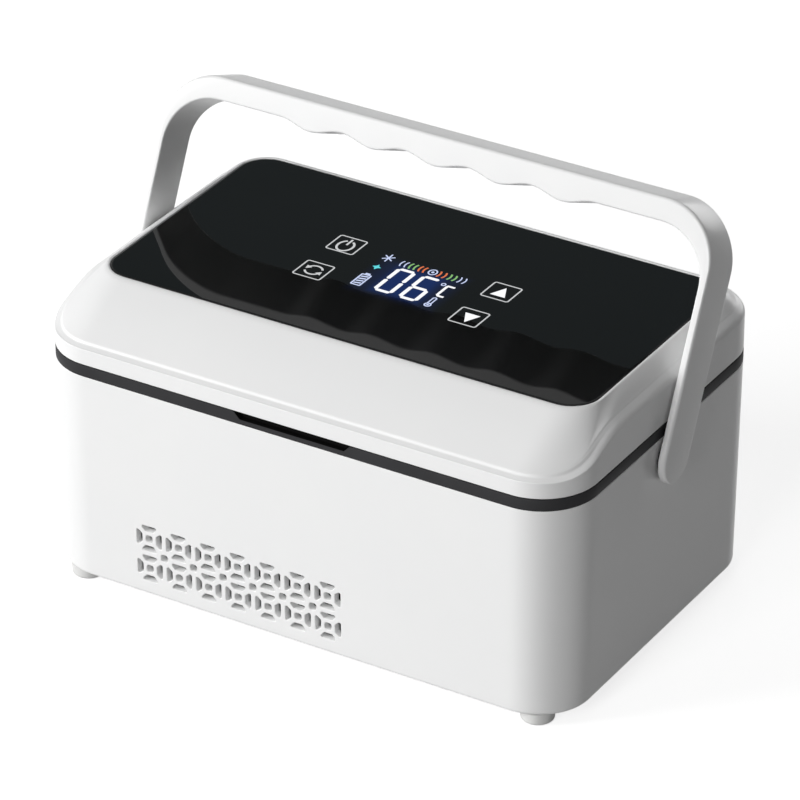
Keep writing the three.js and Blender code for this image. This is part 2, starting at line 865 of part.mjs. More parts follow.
function lidBody() {
  const border = grow(glassOutline, glassBorder);
  const ledge = grow(seamOutline, -lidEdgeRound - lidLedge);
  const slopeFoot = grow(ledge, -lidRiserRun);
  const between = (share) => ({
    length: THREE.MathUtils.lerp(slopeFoot.length, border.length, share),
    depth: THREE.MathUtils.lerp(slopeFoot.depth, border.depth, share),
    radius: THREE.MathUtils.lerp(slopeFoot.radius, border.radius, share),
    y: border.y * share,
  });
  const lower = ring(slopeFoot, (p) => crest(p) + lidRiserHeight, lidSideSteps);
  const slope = (share) =>
    ring(between(share), 0, lidSideSteps).map((p, i) => {
      const rise = THREE.MathUtils.lerp(lower[i].z, glassTop, share);
      return p.setZ(rise + lidShoulderBulge * Math.sin(Math.PI * share));
    });
  const turn = 1 - Math.SQRT1_2;
  return loft([
    ring(seamOutline, lidBottom, lidSideSteps),
    ring(seamOutline, (p) => crest(p) - crestRound(p), lidSideSteps),
    ring(grow(seamOutline, -lidEdgeRound * turn), (p) => crest(p) - crestRound(p) * turn, lidSideSteps),
    ring(grow(seamOutline, -lidEdgeRound), crest, lidSideSteps),
    ring(ledge, crest, lidSideSteps),
    lower,
    slope(1 / 2),
    slope(1),
  ]);
}

function lidHollow() {
  const inner = grow(seamOutline, -lidWall);
  const frontSlope = (glassTop - bandTop - lidRim) / (caseDepth / 2 + glassY - glassDepth / 2);
  const front = glassY - glassDepth / 2 - glassBorder - lidWall;
  const rear = caseDepth / 2 - lidRoofInset;
  const roof = {
    length: caseLength - 2 * lidRoofInset,
    depth: rear - front,
    radius: lidRoofCorner,
    y: (rear + front) / 2,
  };
  const drop = lidWall * Math.hypot(1, frontSlope);
  return loft([
    ring(inner, bandTop - past, lidSideSteps),
    ring(inner, (p) => Math.min(crest(p) - drop, lidRoof - past), lidSideSteps),
    ring(roof, lidRoof, lidSideSteps),
  ]);
}

function lidShell() {
  const body = lidBody();
  let shell = cut(body, lidHollow());
  const touchPosts = corners.map(([, sx, sy]) => {
    const x = sx * (touchBoardLength / 2 - postRadius - past);
    const y = panelY + sy * (touchBoardDepth / 2 - postRadius - past);
    return rodZ(postRadius, touchBoardTop, glassBottom - past, x, y, screwSides);
  });
  const bosses = corners.map(([, sx, sy]) =>
    rodZ(lidBossRadius, lidPlateTop, glassTop, sx * lidBossX, sy * lidBossY, screwSides).intersect(body),
  );
  shell = join(shell, ...touchPosts, ...bosses);
  const pilots = corners.map(([, sx, sy]) =>
    rodZ(
      screwRadius + pilotClearance, lidPlateTop - past, lidPlateBottom + lidScrewLength + past,
      sx * lidBossX, sy * lidBossY, screwSides,
    ),
  );
  const windowOutline = { length: touchWindowLength, depth: touchWindowDepth, radius: 3, y: panelY };
  shell = cut(
    shell, ...pilots,
    prism(grow(glassOutline, fitGap / 2), glassBottom, glassTop + past),
    prism(windowOutline, lidRoof - past, glassBottom + past),
  );
  for (const [, sx] of sides) {
    const half = lidKnuckleLength / 2;
    const x0 = sx * hingeX - half;
    const x1 = sx * hingeX + half;
    const neck = box(
      [x0, x1], [caseDepth / 2 - lidWall / 2, hingeY], [lidBottom, lidBottom + neckHeight],
    );
    const bore = rodX(hingePinRadius + runningGap, x0 - past, x1 + past, hingeY, hingeZ, smallSides);
    const barrel = rodX(hingeBarrelRadius, x0, x1, hingeY, hingeZ, smallSides);
    shell = cut(join(shell, neck, barrel), bore);
  }
  return shell;
}

const plugOutline = grow(chamberOutline, -plugGap);

function lidLiner() {
  const plate = prism(grow(seamOutline, -lidWall - fitGap), lidPlateBottom, lidPlateTop);
  const plugBottom = bandTop - plugDepth;
  const plug = prism(plugOutline, plugBottom, lidPlateTop);
  const pocket = prism(grow(plugOutline, -plugWall), plugBottom + plugWall, lidPlateTop + past);
  let liner = cut(join(plate, plug), pocket);
  for (const [, sx, sy] of corners) {
    const x = sx * lidBossX;
    const y = sy * lidBossY;
    const seat = lidPlateBottom + screwHeadHeight;
    liner = cut(
      liner,
      rodZ(screwHeadRadius + fitGap, lidPlateBottom - past, seat, x, y, screwSides),
      rodZ(screwRadius + fitGap, lidPlateBottom, lidPlateTop + past, x, y, screwSides),
    );
  }
  return liner;
}

function lidFoam() {
  const lower = grow(plugOutline, -plugWall - fitGap);
  const floor = bandTop - plugDepth + plugWall + fitGap;
  const slabBottom = lidPlateTop + fitGap;
  const slabTop = touchBoardBottom - fitGap;
  const front = glassY - glassDepth / 2;
  const rear = lidBossY - lidBossRadius - past;
  const slab = {
    length: 2 * (lidBossX - lidBossRadius - past),
    depth: rear - front,
    radius: chamberCorner,
    y: (front + rear) / 2,
  };
  return join(
    prism(lower, floor, slabBottom + past),
    prism(slab, slabBottom, slabTop),
  );
}

function lidGasket() {
  const inner = grow(chamberOutline, gasketOffset);
  return cut(
    prism(grow(inner, gasketWidth), bandTop + lidGap, lidPlateBottom),
    prism(inner, bandTop, lidPlateBottom + past),
  );
}

// The handle is drawn about its pivot: X across, Y along its arms, Z towards its front.
function handleOutline() {
  const outer = armOuter - handleOuterCorner;
  const inner = barEnd;
  const foot = -handleWidth;
  const shape = new THREE.Shape();
  shape.moveTo(armOuter, foot);
  shape.lineTo(armOuter, handleReach - handleOuterCorner);
  shape.absarc(outer, handleReach - handleOuterCorner, handleOuterCorner, 0, Math.PI / 2);
  shape.absarc(-outer, handleReach - handleOuterCorner, handleOuterCorner, Math.PI / 2, Math.PI);
  shape.lineTo(-armOuter, foot);
  shape.lineTo(-armInner, foot);
  shape.absarc(-inner, barUnder - handleInnerCorner, handleInnerCorner, Math.PI, Math.PI / 2, true);
  const waveStart = (-fingerCount * fingerPitch) / 2;
  for (let i = 0; i <= fingerCount * waveSteps; i++) {
    const dip = fingerDepth * Math.sin((Math.PI * i) / waveSteps) ** 2;
    shape.lineTo(waveStart + (fingerPitch * i) / waveSteps, barUnder - dip);
  }
  shape.absarc(inner, barUnder - handleInnerCorner, handleInnerCorner, Math.PI / 2, 0, true);
  shape.lineTo(armInner, foot);
  return shape;
}

// The handle seen from its end: round about the pivot, with a crowned rear edge on the bar.
function handleProfile() {
  const half = handleWidth / 2;
  const shape = new THREE.Shape();
  shape.absarc(0, 0, half, Math.PI, 2 * Math.PI);
  shape.absarc(half - barRearRound, handleReach - barRearRound, barRearRound, 0, Math.PI / 2);
  shape.absarc(-half + barFrontRound, handleReach - barFrontRound, barFrontRound, Math.PI / 2, Math.PI);
  return shape;
}

function handleBody() {
  const front = extruded(handleOutline(), handleWidth, 8).translate(0, 0, -handleWidth / 2);
  const end = extruded(handleProfile(), 2 * armOuter + 2 * past, 8);
  end.translate(0, 0, -armOuter - past);
  end.rotateY(Math.PI / 2);
  let handle = solid(front).intersect(solid(end));
  for (const [, sx] of sides) {
    const stub = rodX(stubRadius, sx * pivotInside, sx * (armInner + past), 0, 0);
    const hole = rodX(
      screwRadius + pilotClearance, sx * (pivotInside - past), sx * (armInner - past), 0, 0, screwSides,
    );
    handle = cut(join(handle, stub), hole);
  }
  return handle;
}

// One length of the handle, between two upright planes across it.
function handleLength(from, to) {
  const tall = handleReach + handleWidth;
  return handleBody().intersect(box([from, to], [-tall, tall], [-handleWidth, handleWidth]));
}

function pivotBush(sx) {
  const outer = caseLength / 2 + pilotClearance;
  const flange = rodX(bushFlangeRadius, sx * outer, sx * (outer + bushFlange), 0, pivotZ);
  const sleeve = rodX(bushOuter, sx * (caseLength / 2 - bushLength), sx * (outer + bushFlange), 0, pivotZ);
  const boreEnd = outer + bushFlange + past;
  const bore = rodX(stubRadius + runningGap, sx * (pivotInside - past), sx * boreEnd, 0, pivotZ);
  return cut(join(flange, sleeve), bore);
}

function pivotWasher(sx) {
  const inner = pivotInside - washerThickness;
  const disc = rodX(washerRadius, sx * inner, sx * pivotInside, 0, 0);
  const holeRadius = screwRadius + pilotClearance;
  return cut(disc, rodX(holeRadius, sx * (inner - past), sx * (pivotInside + past), 0, 0, screwSides));
}

function pivotScrew(sx) {
  const seat = pivotInside - washerThickness;
  const head = rodX(screwHeadRadius, sx * (seat - screwHeadHeight), sx * seat, 0, 0, screwSides);
  return join(head, rodX(screwRadius, sx * (seat - past), sx * (armInner - 2 * past), 0, 0, screwSides));
}

// Base: the case and what stays with it
piece(baseGroup, "case_shell", whitePlastic, caseShell());
piece(baseGroup, "base_plate", whitePlastic, basePlate());
for (const [name, sx, sy] of corners) {
  piece(baseGroup, `foot_${name}`, greyRubber, foot(sx * footX, sy * footY));
  const screwSeat = basePlateBottom - 2 * screwHeadHeight;
  piece(baseGroup, `base_screw_${name}`, steel, screwBody(sx * footX, sy * footY, screwSeat));
}
piece(baseGroup, "seam_frame", darkPlastic, seamFrame());
piece(baseGroup, "chamber_liner", aluminium, chamberLiner());
piece(baseGroup, "insulation_jacket", whiteFoam, insulation());
const stackX = [coolerX - peltierSize / 2, coolerX + peltierSize / 2];
const stackY = [coolerY - peltierSize / 2, coolerY + peltierSize / 2];
piece(baseGroup, "cold_block", aluminium, box(stackX, stackY, [peltierTop, linerBottom]));
piece(baseGroup, "peltier_module", ceramic, box(stackX, stackY, [sinkTop, peltierTop]));
piece(baseGroup, "heat_sink", aluminium, heatSink());
piece(baseGroup, "control_board", circuitBoard, controlBoard());
piece(baseGroup, "power_socket", darkPlastic, powerSocket());
piece(baseGroup, "battery_pack", blueWrap, batteryPack());
for (const [name, sx] of sides) {
  const reach = lidKnuckleLength / 2 + knuckleGap + frameKnuckleLength - fitGap;
  const pin = rodX(hingePinRadius, sx * hingeX - reach, sx * hingeX + reach, hingeY, hingeZ, smallSides);
  piece(baseGroup, `hinge_pin_${name}`, steel, pin);
  piece(baseGroup, `pivot_bush_${name}`, darkPlastic, pivotBush(sx));
}

// Fan, on its upright axis under the heat sink
fanGroup.position.set(coolerX, coolerY, fanBottom);
piece(fanGroup, "fan_frame", darkPlastic, fanFrame());
piece(fanGroup, "fan_rotor", darkPlastic, fanRotor());

// Lid: shell, glass, panel electronics, insulation and liner
piece(lidGroup, "lid_shell", whitePlastic, lidShell());
piece(lidGroup, "glass_panel", blackGlass, prism(glassOutline, glassBottom, glassTop));
const touchOutline = { length: touchBoardLength, depth: touchBoardDepth, radius: 2, y: panelY };
piece(lidGroup, "touch_board", circuitBoard, prism(touchOutline, touchBoardBottom, touchBoardTop));
const displayOutline = { length: displayLength, depth: displayDepth, radius: 1, y: panelY };
piece(lidGroup, "display_module", displayFilm, prism(displayOutline, touchBoardTop, glassBottom - fitGap));
for (const [name, sx, sy] of [["power", -1, 1], ["mode", -1, -1], ["up", 1, 1], ["down", 1, -1]]) {
  const keyY = panelY + (sy * keyRowSpacing) / 2;
  const pad = rodZ(touchPadRadius, touchBoardTop, glassBottom - fitGap, sx * keyX, keyY, screwSides);
  piece(lidGroup, `touch_pad_${name}`, gasketRubber, pad);
}
piece(lidGroup, "lid_foam", whiteFoam, lidFoam());
piece(lidGroup, "lid_liner", whitePlastic, lidLiner());
piece(lidGroup, "lid_gasket", gasketRubber, lidGasket());
for (const [name, sx, sy] of corners) {
  const screw = screwBody(sx * lidBossX, sy * lidBossY, lidPlateBottom, lidScrewLength);
  piece(lidGroup, `lid_screw_${name}`, steel, screw);
}

// Handle, leaning back on its stop
handleGroup.position.set(0, 0, pivotZ);
handleGroup.rotation.x = degrees(90 - handleLean);
piece(handleGroup, "handle_bar", whitePlastic, handleLength(-barEnd, barEnd));
piece(handleGroup, "handle_arm_left", whitePlastic, handleLength(-armOuter - past, -barEnd));
piece(handleGroup, "handle_arm_right", whitePlastic, handleLength(barEnd, armOuter + past));
for (const [name, sx] of sides) {
  piece(handleGroup, `pivot_washer_${name}`, steel, pivotWasher(sx));
  piece(handleGroup, `pivot_screw_${name}`, steel, pivotScrew(sx));
}

// The rear hinges stand proud, so the whole is moved forward to centre it over the origin.
root.position.y = -(hingeY + hingeBarrelRadius - caseDepth / 2) / 2;

export default root;
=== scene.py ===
import json
import math
from functools import partial

import bmesh
import bpy
from mathutils import Matrix, Vector


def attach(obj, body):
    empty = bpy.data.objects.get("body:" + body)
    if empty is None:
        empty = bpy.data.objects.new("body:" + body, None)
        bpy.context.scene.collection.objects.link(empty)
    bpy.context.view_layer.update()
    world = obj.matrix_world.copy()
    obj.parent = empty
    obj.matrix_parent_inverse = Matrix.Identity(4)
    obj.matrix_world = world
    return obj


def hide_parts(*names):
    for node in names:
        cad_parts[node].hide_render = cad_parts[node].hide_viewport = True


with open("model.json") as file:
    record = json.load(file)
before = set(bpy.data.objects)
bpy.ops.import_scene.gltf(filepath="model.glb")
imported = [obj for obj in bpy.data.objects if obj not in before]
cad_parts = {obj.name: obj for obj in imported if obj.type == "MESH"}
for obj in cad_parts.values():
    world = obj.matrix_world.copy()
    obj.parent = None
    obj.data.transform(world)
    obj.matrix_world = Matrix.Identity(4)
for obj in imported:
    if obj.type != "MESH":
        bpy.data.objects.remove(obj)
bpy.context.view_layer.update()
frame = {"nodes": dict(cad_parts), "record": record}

# Sizes in millimetres. Drawing y is measured from the middle of the case, which lies 3 mm in front of
# the frame's origin.
MM = 0.001
CASE_MIDDLE_Y = -3.0
FIT = 0.3
CREASE = 35
WELD = 0.0002
CAD_WELD = 0.002

CASE_BOTTOM = 4.6
CASE_TOP = 88.6
CASE_DRAFT = 1.2
CASE_WALL = 2.8
CASE_BOTTOM_ROUND = 1.5
CASE_LIP = 4.2
CASE_LIP_TOP = 8.6
CASE_LEVELS = (7.4, 8.6, 37, 62, 86, 87.8)
CASE_TOP_EDGE = ((0, 88.25), (0.1, 88.5), (0.35, CASE_TOP))
CASE_INNER_LEVELS = (CASE_TOP, 50, CASE_LIP_TOP)
INLET_X = 45
INLET_Z = 19.8
INLET_RADIUS = 4.3
INLET_DEPTH = (64, 76)
VENT_X = -24.0
VENT_Z = 22.1
VENT_PITCH = 12.6
VENT_COLUMNS = 7
VENT_ROWS = 2

FOOT_X = 94.8
FOOT_Y = 63.2
FOOT_HOLE = 4.3
FOOT_HOLE_LEVELS = (3.6, 6.8)
FOOT_SOLE = 5.2
FOOT_ROUND = 1.0
FOOT_WELL = ((2.99, 3.0), (2.99, 0.2), (3.2, 0.0), (FOOT_SOLE, 0.0))
FOOT_SIDE = ((6.25, 2.6), (6.38, 4.4), (6.4, 4.6), (1.7, 4.6), (1.7, 3.0))

BAND_TOP = 93.2
BAND_EDGE = 0.3
BAND_BEND = 0.08
DECK_BOTTOM = 90.6
DECK_EDGE = 0.6
DECK_BEND = 0.18
TONGUE_BOTTOM = 86.6
TONGUE_WALL = 2.0
NOTCH_HALF = 24.6
NOTCH_FLOOR_HALF = 21.4
NOTCH_TOP = 93.8
NOTCH_FRONT = -75.0
NOTCH_BACK = -70.6
NOTCH_SHADE_Y = -71.6
NOTCH_SHADE_HALF = 1.2

HINGE_X = 60.0
HINGE_Y = 76.2
HINGE_Z = 93.35
HINGE_RADIUS = 2.8
HINGE_BORE = 1.5
LID_KNUCKLE_HALF = 8
LID_KNUCKLE_ROOT = ((72.0, 93.6), (74.6, 96.1))
BAND_KNUCKLE_ENDS = (8.4, 17.4)
BAND_KNUCKLE_ROOT = ((72.2, DECK_BOTTOM), (74.6, 93.05))

LID_BOTTOM = 93.5
LID_BOTTOM_EDGE = 0.25
LID_RIM = 7.0
LID_WALL = 2.2
LID_ROOF = 111.6
LID_ROOF_DROP = 2.48
SHOULDER_TOP = 110.4
CREST_START = -68.0
CREST_END = -32.3
SLOPE_STEPS = 12
SLOPE_BULGE = 0.35
EDGE_SUPPORT = 0.25
LID_BOSS_X = 97
LID_BOSS_Y = 58
LID_BOSS_RADIUS = 3.6
LID_BOSS_BORE = 1.5
LID_BOSS_BOTTOM = 97.5
LID_BOSS_FRONT_TOP = 102.4
LID_BOSS_REAR_TOP = 112.2
GLASS_TOP = 115.4
GLASS_BOTTOM = 113.4
GLASS_EDGE = 0.75
GLASS_UNDER_EDGE = 0.25
GLASS_FACE_INSET = 1.0
GLASS_GAP = 0.15
GLASS_BORDER = 1.2
GLASS_LIP = ((0.45, 0.02), (0.2, -0.1), (GLASS_GAP, -0.35))

HANDLE_LEAN = math.radians(24.8)
HANDLE_HALF = 9.8
HANDLE_EDGE = 1.5
HANDLE_INNER_EDGE = 0.9
HANDLE_EDGE_STEPS = 7
PIVOT_Z = 79.6
PIVOT_BORE = 6.8
CASE_BORE_ENDS = (104, 112)
BAND_BORE_ENDS = (103.7, 107.2)
ARM_INNER = 111.2
ARM_OUTER = 114.2
ARM_ROUND_START = -87
ARM_STEPS = 12
BAR_UNDER = 79.79
BAR_TOP = 88.44
BAR_REAR_RISE = 1.0
BAR_ENDS = (88, 84, 80, 76, 72, 69, 67)
GRIP_CORNER = 19.5
OUTER_CORNER = 22
CORNER_STEPS = 24
FINGER_REACH = 65.5
FINGER_PITCH = 26.2
FINGER_DIP = 2.6
FINGER_STEPS = 130
STUB_PROFILE = ((104.7, 1.5), (104.7, 4.7), (105.0, 5.0), (111.6, 5.0), (111.6, 1.5))

SIDES = (-1, 1)
CORNERS = (
    ("front_left", -1, -1),
    ("front_right", 1, -1),
    ("rear_left", -1, 1),
    ("rear_right", 1, 1),
)


def blend(a, b, share):
    return a + (b - a) * share


def ease(value, low, high):
    share = min(max((value - low) / (high - low), 0.0), 1.0)
    return share * share * (3 - 2 * share)


def oval(x, y, rx, ry, steps):
    turns = [2 * math.pi * k / steps for k in range(steps)]
    return [(x + rx * math.cos(t), y + ry * math.sin(t)) for t in turns]


def quarter(steps, first=0):
    """Cosine and sine at each step of a quarter turn."""
    turns = [math.radians(90 * k / steps) for k in range(first, steps + 1)]
    return [(math.cos(t), math.sin(t)) for t in turns]


class Outline:
    """A rounded rectangle seen from above."""

    def __init__(self, length, depth, radius, y=0.0):
        self.length = length
        self.depth = depth
        self.radius = radius
        self.y = y

    def grown(self, by):
        return Outline(self.length + 2 * by, self.depth + 2 * by, self.radius + by, self.y)

    def towards(self, other, share):
        return Outline(
            blend(self.length, other.length, share),
            blend(self.depth, other.depth, share),
            blend(self.radius, other.radius, share),
            blend(self.y, other.y, share),
        )

    def points(self, corner, along=1, across=1, support=0.0):
        """Anticlockwise from the front's right end, with points along each side and near each corner."""
        x = self.length / 2 - self.radius
        y = self.depth / 2 - self.radius
        middles = ((x, -y, -90), (x, y, 0), (-x, y, 90), (-x, -y, 180))
        made = []
        for i, (cx, cy, start) in enumerate(middles):
            for k in range(corner + 1):
                turn = math.radians(start + 90 * k / corner)
                made.append(Vector((cx + self.radius * math.cos(turn), cy + self.radius * math.sin(turn))))
            nx, ny, after = middles[(i + 1) % 4]
            turn = math.radians(after)
            target = Vector((nx + self.radius * math.cos(turn), ny + self.radius * math.sin(turn)))
            here = made[-1]
            ahead = (target - here).normalized() * support
            steps = across if i % 2 == 0 else along
            if support:
                made.append(here + ahead)
            made.extend(here.lerp(target, k / steps) for k in range(1, steps))
            if support:
                made.append(target - ahead)
        return [Vector((p.x, p.y + self.y)) for p in made]

    def ring(self, z, corner=20, support=0.7):
        """Its points at one height."""
        return [(p.x, p.y, z) for p in self.points(corner, support=support)]


SEAM = Outline(220, 146, 22)
GLASS = Outline(200.3, 106.5, 11.3, 9.6)
CHAMBER = Outline(178, 104, 12)
PANEL_WINDOW = Outline(85, 42, 3, 6.0)
ROOF = Outline(205.2, 112.65, 14, 9.275)


class Shell:
    """Closed surfaces drawn in millimetres and made one mesh."""

    def __init__(self):
        self.points = []
        self.faces = []

    def ring(self, points):
        first = len(self.points)
        self.points.extend(Vector(p) for p in points)
        return list(range(first, len(self.points)))

    def bridge(self, a, b):
        n = len(a)
        self.faces.extend((a[i], a[(i + 1) % n], b[(i + 1) % n], b[i]) for i in range(n))

    def loft(self, rings, closed=False):
        """A surface through the rings, which runs back to the first one or ends in two caps."""
        made = [self.ring(r) for r in rings]
        for a, b in zip(made, made[1:]):
            self.bridge(a, b)
        if closed:
            self.bridge(made[-1], made[0])
        else:
            self.faces.append(tuple(reversed(made[0])))
            self.faces.append(tuple(made[-1]))
        return self

    def turned(self, profile, x, y, steps=40, closed=False):
        """A profile of radius and height, spun about an upright axis."""
        rings = [[(*p, z) for p in oval(x, y, r, r, steps)] for r, z in profile]
        return self.loft(rings, closed)

    def barrel(self, x0, x1, y, z, radius, bore=0.0, steps=32, edge=0.3):
        """A round piece along X, with softened ends and a bore if it has one."""
        low, high = min(x0, x1), max(x0, x1)
        profile = [(radius - edge, low), (radius, low + edge), (radius, high - edge), (radius - edge, high)]
        if bore:
            profile += [(bore, high), (bore, low)]
        rings = [[(x, *p) for p in oval(y, z, r, r, steps)] for r, x in profile]
        return self.loft(rings, closed=bool(bore))

    def block(self, low, high, edge=0.25):
        """A box with softened edges."""
        middle = Outline(high[0] - low[0], high[1] - low[1], edge * 2)
        cx, cy = (low[0] + high[0]) / 2, (low[1] + high[1]) / 2
        levels = ((-edge, low[2]), (0, low[2] + edge), (0, high[2] - edge), (-edge, high[2]))
        rings = []
        for by, z in levels:
            rings.append([(p.x + cx, p.y + cy, z) for p in middle.grown(by).points(4)])
        return self.loft(rings)

    def mesh(self, name, crease=CREASE):
        mesh = bpy.data.meshes.new(name)
        placed = [(p.x * MM, (p.y + CASE_MIDDLE_Y) * MM, p.z * MM) for p in self.points]
        mesh.from_pydata(placed, [], self.faces)
        tidy_mesh(mesh, crease)
        return mesh


def tidy_mesh(mesh, crease=CREASE):
    work = bmesh.new()
    work.from_mesh(mesh)
    bmesh.ops.remove_doubles(work, verts=work.verts, dist=WELD * MM)
    bmesh.ops.recalc_face_normals(work, faces=work.faces)
    work.to_mesh(mesh)
    work.free()
    mesh.polygons.foreach_set("use_smooth", [True] * len(mesh.polygons))
    mesh.set_sharp_from_angle(angle=math.radians(crease))
    mesh.update()


def new_object(name, data):
    made = bpy.data.objects.new(name, data)
    bpy.context.scene.collection.objects.link(made)
    return made


def settle(piece, crease=CREASE):
    """Makes the piece's modifiers part of its mesh."""
    bpy.context.view_layer.update()
    graph = bpy.context.evaluated_depsgraph_get()
    mesh = bpy.data.meshes.new_from_object(piece.evaluated_get(graph))
    piece.modifiers.clear()
    piece.data = mesh
    tidy_mesh(mesh, crease)


def cut_away(piece, cutters, crease=CREASE):
    """Takes the cutters' shapes out of the piece, one after the other."""
    for cutter in cutters:
        change = piece.modifiers.new(cutter.name, "BOOLEAN")
        change.operation = "DIFFERENCE"
        change.solver = "EXACT"
        change.object = cutter
    settle(piece, crease)
    for cutter in cutters:
        bpy.data.objects.remove(cutter)


def add_shapes(piece, shell):
    """Joins further closed shapes to a piece's mesh."""
    work = bmesh.new()
    work.from_mesh(piece.data)
    work.from_mesh(shell.mesh("further_shapes"))
    work.to_mesh(piece.data)
    work.free()
    piece.data.update()


# Nodes, written as expressions


class Signal:
    """A socket that takes part in sums."""

    def __init__(self, graph, socket):
        self.graph = graph
        self.socket = socket

    def sum(self, operation, *terms):
        return self.graph.add("ShaderNodeMath", {"operation": operation}, dict(enumerate(terms)))

    def __add__(self, other):
        return self.sum("ADD", self, other)

    def __radd__(self, other):
        return self.sum("ADD", other, self)

    def __sub__(self, other):
        return self.sum("SUBTRACT", self, other)

    def __rsub__(self, other):
        return self.sum("SUBTRACT", other, self)

    def __mul__(self, other):
        return self.sum("MULTIPLY", self, other)

    def __rmul__(self, other):
        return self.sum("MULTIPLY", other, self)

    def above(self, level):
        return self.sum("GREATER_THAN", self, level)

    def size(self):
        return self.sum("ABSOLUTE", self)

    def larger(self, other):
        return self.sum("MAXIMUM", self, other)

    def eased(self, low, high):
        ranges = {"From Min": low, "From Max": high, "To Min": 0.0, "To Max": 1.0}
        return self.graph.add(
            "ShaderNodeMapRange", {"interpolation_type": "SMOOTHSTEP"}, {"Value": self, **ranges}
        )


class Graph:
    """A node tree whose nodes come from one method."""

    def __init__(self, tree):
        self.tree = tree

    def add(self, kind, settings, values, out=0):
        """A node with its settings, then the values or links of its sockets."""
        node = self.tree.nodes.new(kind)
        for key, value in settings.items():
            setattr(node, key, value)
        for key, value in values.items():
            self.join(node.inputs[key], value)
        return None if out is None else Signal(self, node.outputs[out])

    def join(self, socket, value):
        if isinstance(value, Signal):
            self.tree.links.new(value.socket, socket)
        else:
            socket.default_value = value


class Finish(Graph):
    """One material: a Principled shader and what feeds it."""

    def __init__(self, name, **constants):
        self.material = bpy.data.materials.new(name)
        self.material.use_nodes = True
        super().__init__(self.material.node_tree)
        self.shader = self.tree.nodes["Principled BSDF"]
        for key, value in constants.items():
            self.shader.inputs[key.replace("_", " ")].default_value = value

    def feed(self, name, value):
        self.join(self.shader.inputs[name], value)
        return self

    def place(self):
        return self.add("ShaderNodeTexCoord", {}, {}, out="Object")

    def axis(self, name):
        return self.add("ShaderNodeSeparateXYZ", {}, {"Vector": self.place()}, out=name)

    def past_box(self, x, y, half_x, half_y):
        """How far a point lies outside a drawn box seen from above; less than 0 inside it."""
        across = (self.axis("X") - x * MM).size() - half_x * MM
        along = (self.axis("Y") - (y + CASE_MIDDLE_Y) * MM).size() - half_y * MM
        return across.larger(along)

    def grain(self, scale, detail=3.0, stretch=(1, 1, 1)):
        """Cloudy noise from 0 to 1; scale counts features per metre."""
        spread = self.add("ShaderNodeMapping", {}, {"Vector": self.place(), "Scale": stretch})
        values = {"Vector": spread, "Scale": scale, "Detail": detail, "Roughness": 0.55}
        return self.add("ShaderNodeTexNoise", {}, values)

    def cells(self, scale):
        values = {"Vector": self.place(), "Scale": scale}
        return self.add("ShaderNodeTexVoronoi", {}, values, out="Distance")

    def mixed(self, share, a, b):
        values = {"Factor": share}
        for socket, colour in ((6, a), (7, b)):
            values[socket] = (*colour, 1.0) if isinstance(colour, tuple) else colour
        return self.add("ShaderNodeMix", {"data_type": "RGBA"}, values, out=2)

    def toned(self, pattern, dark, pale, rough, swing):
        """Colour and roughness that follow one pattern."""
        self.feed("Base Color", self.mixed(pattern, dark, pale))
        return self.feed("Roughness", rough + swing * pattern)

    def relief(self, height, depth_mm, strength):
        values = {"Height": height, "Distance": depth_mm * MM, "Strength": strength}
        return self.feed("Normal", self.add("ShaderNodeBump", {}, values))


def white_moulding():
    finish = Finish("white_moulding", IOR=1.5, Specular_IOR_Level=0.22, Coat_Roughness=0.08)
    cloud = finish.grain(26, 2.0)
    finish.feed("Base Color", finish.mixed(cloud, (0.845, 0.848, 0.850), (0.872, 0.872, 0.868)))
    finish.feed("Roughness", 0.27 + 0.05 * finish.grain(120, 2.0))
    finish.feed("Coat Weight", 0.03 + 0.03 * cloud)
    return finish.relief(finish.grain(1500, 1.0), 0.0015, 0.1)


def dark_moulding():
    """Grained dark plastic, with painted shade that makes it black inside the fingernail notch."""
    finish = Finish("dark_moulding", IOR=1.5, Specular_IOR_Level=0.04)
    spark = finish.grain(3800)
    skin = finish.mixed(finish.grain(60), (0.034, 0.034, 0.036), (0.048, 0.048, 0.050))
    # Painted shade: the hollow of the notch is painted near black where shade falls in it.
    notch = finish.past_box(0, NOTCH_SHADE_Y, NOTCH_HALF, NOTCH_SHADE_HALF)
    inside = 1 - notch.eased(-0.1 * MM, 0.1 * MM)
    finish.feed("Base Color", finish.mixed(inside, skin, (0.004, 0.004, 0.004)))
    finish.feed("Roughness", 0.42 + 0.16 * spark)
    return finish.relief(spark, 0.02, 0.5)


def fan_moulding():
    finish = Finish("fan_moulding", IOR=1.48)
    finish.toned(finish.grain(90), (0.016, 0.016, 0.017), (0.026, 0.026, 0.027), 0.5, 0.2)
    return finish.relief(finish.grain(2400, 2.0), 0.02, 0.4)


def black_glass():
    """Black-backed glass whose display shines blue through it."""
    finish = Finish("black_glass", Specular_IOR_Level=0.15, IOR=1.5, Emission_Strength=1.0)
    smear = finish.grain(34, 4.0, (1.0, 2.2, 1.0))
    finish.toned(smear, (0.0012, 0.0014, 0.0015), (0.0020, 0.0023, 0.0025), 0.012, 0.02)
    glow = 1 - finish.past_box(1.2, 4.2, 15.5, 11.5).eased(-4.0 * MM, 4.8 * MM)
    heart = 1 - finish.past_box(1.4, 3.5, 8.5, 9.0).eased(-2.0 * MM, 4.0 * MM)
    base = finish.mixed(glow, (0.0, 0.0, 0.0), (0.0012, 0.0055, 0.03))
    return finish.feed("Emission Color", finish.mixed(heart, base, (0.001, 0.016, 0.10)))


def foot_rubber():
    finish = Finish("foot_rubber", IOR=1.45)
    finish.toned(finish.grain(160), (0.70, 0.70, 0.69), (0.79, 0.79, 0.78), 0.55, 0.2)
    return finish.relief(finish.grain(3000, 2.0), 0.02, 0.5)


def gasket_rubber():
    finish = Finish("gasket_rubber", IOR=1.45)
    finish.toned(finish.grain(120), (0.045, 0.045, 0.046), (0.075, 0.075, 0.074), 0.6, 0.2)
    return finish.relief(finish.grain(2200, 2.0), 0.03, 0.5)


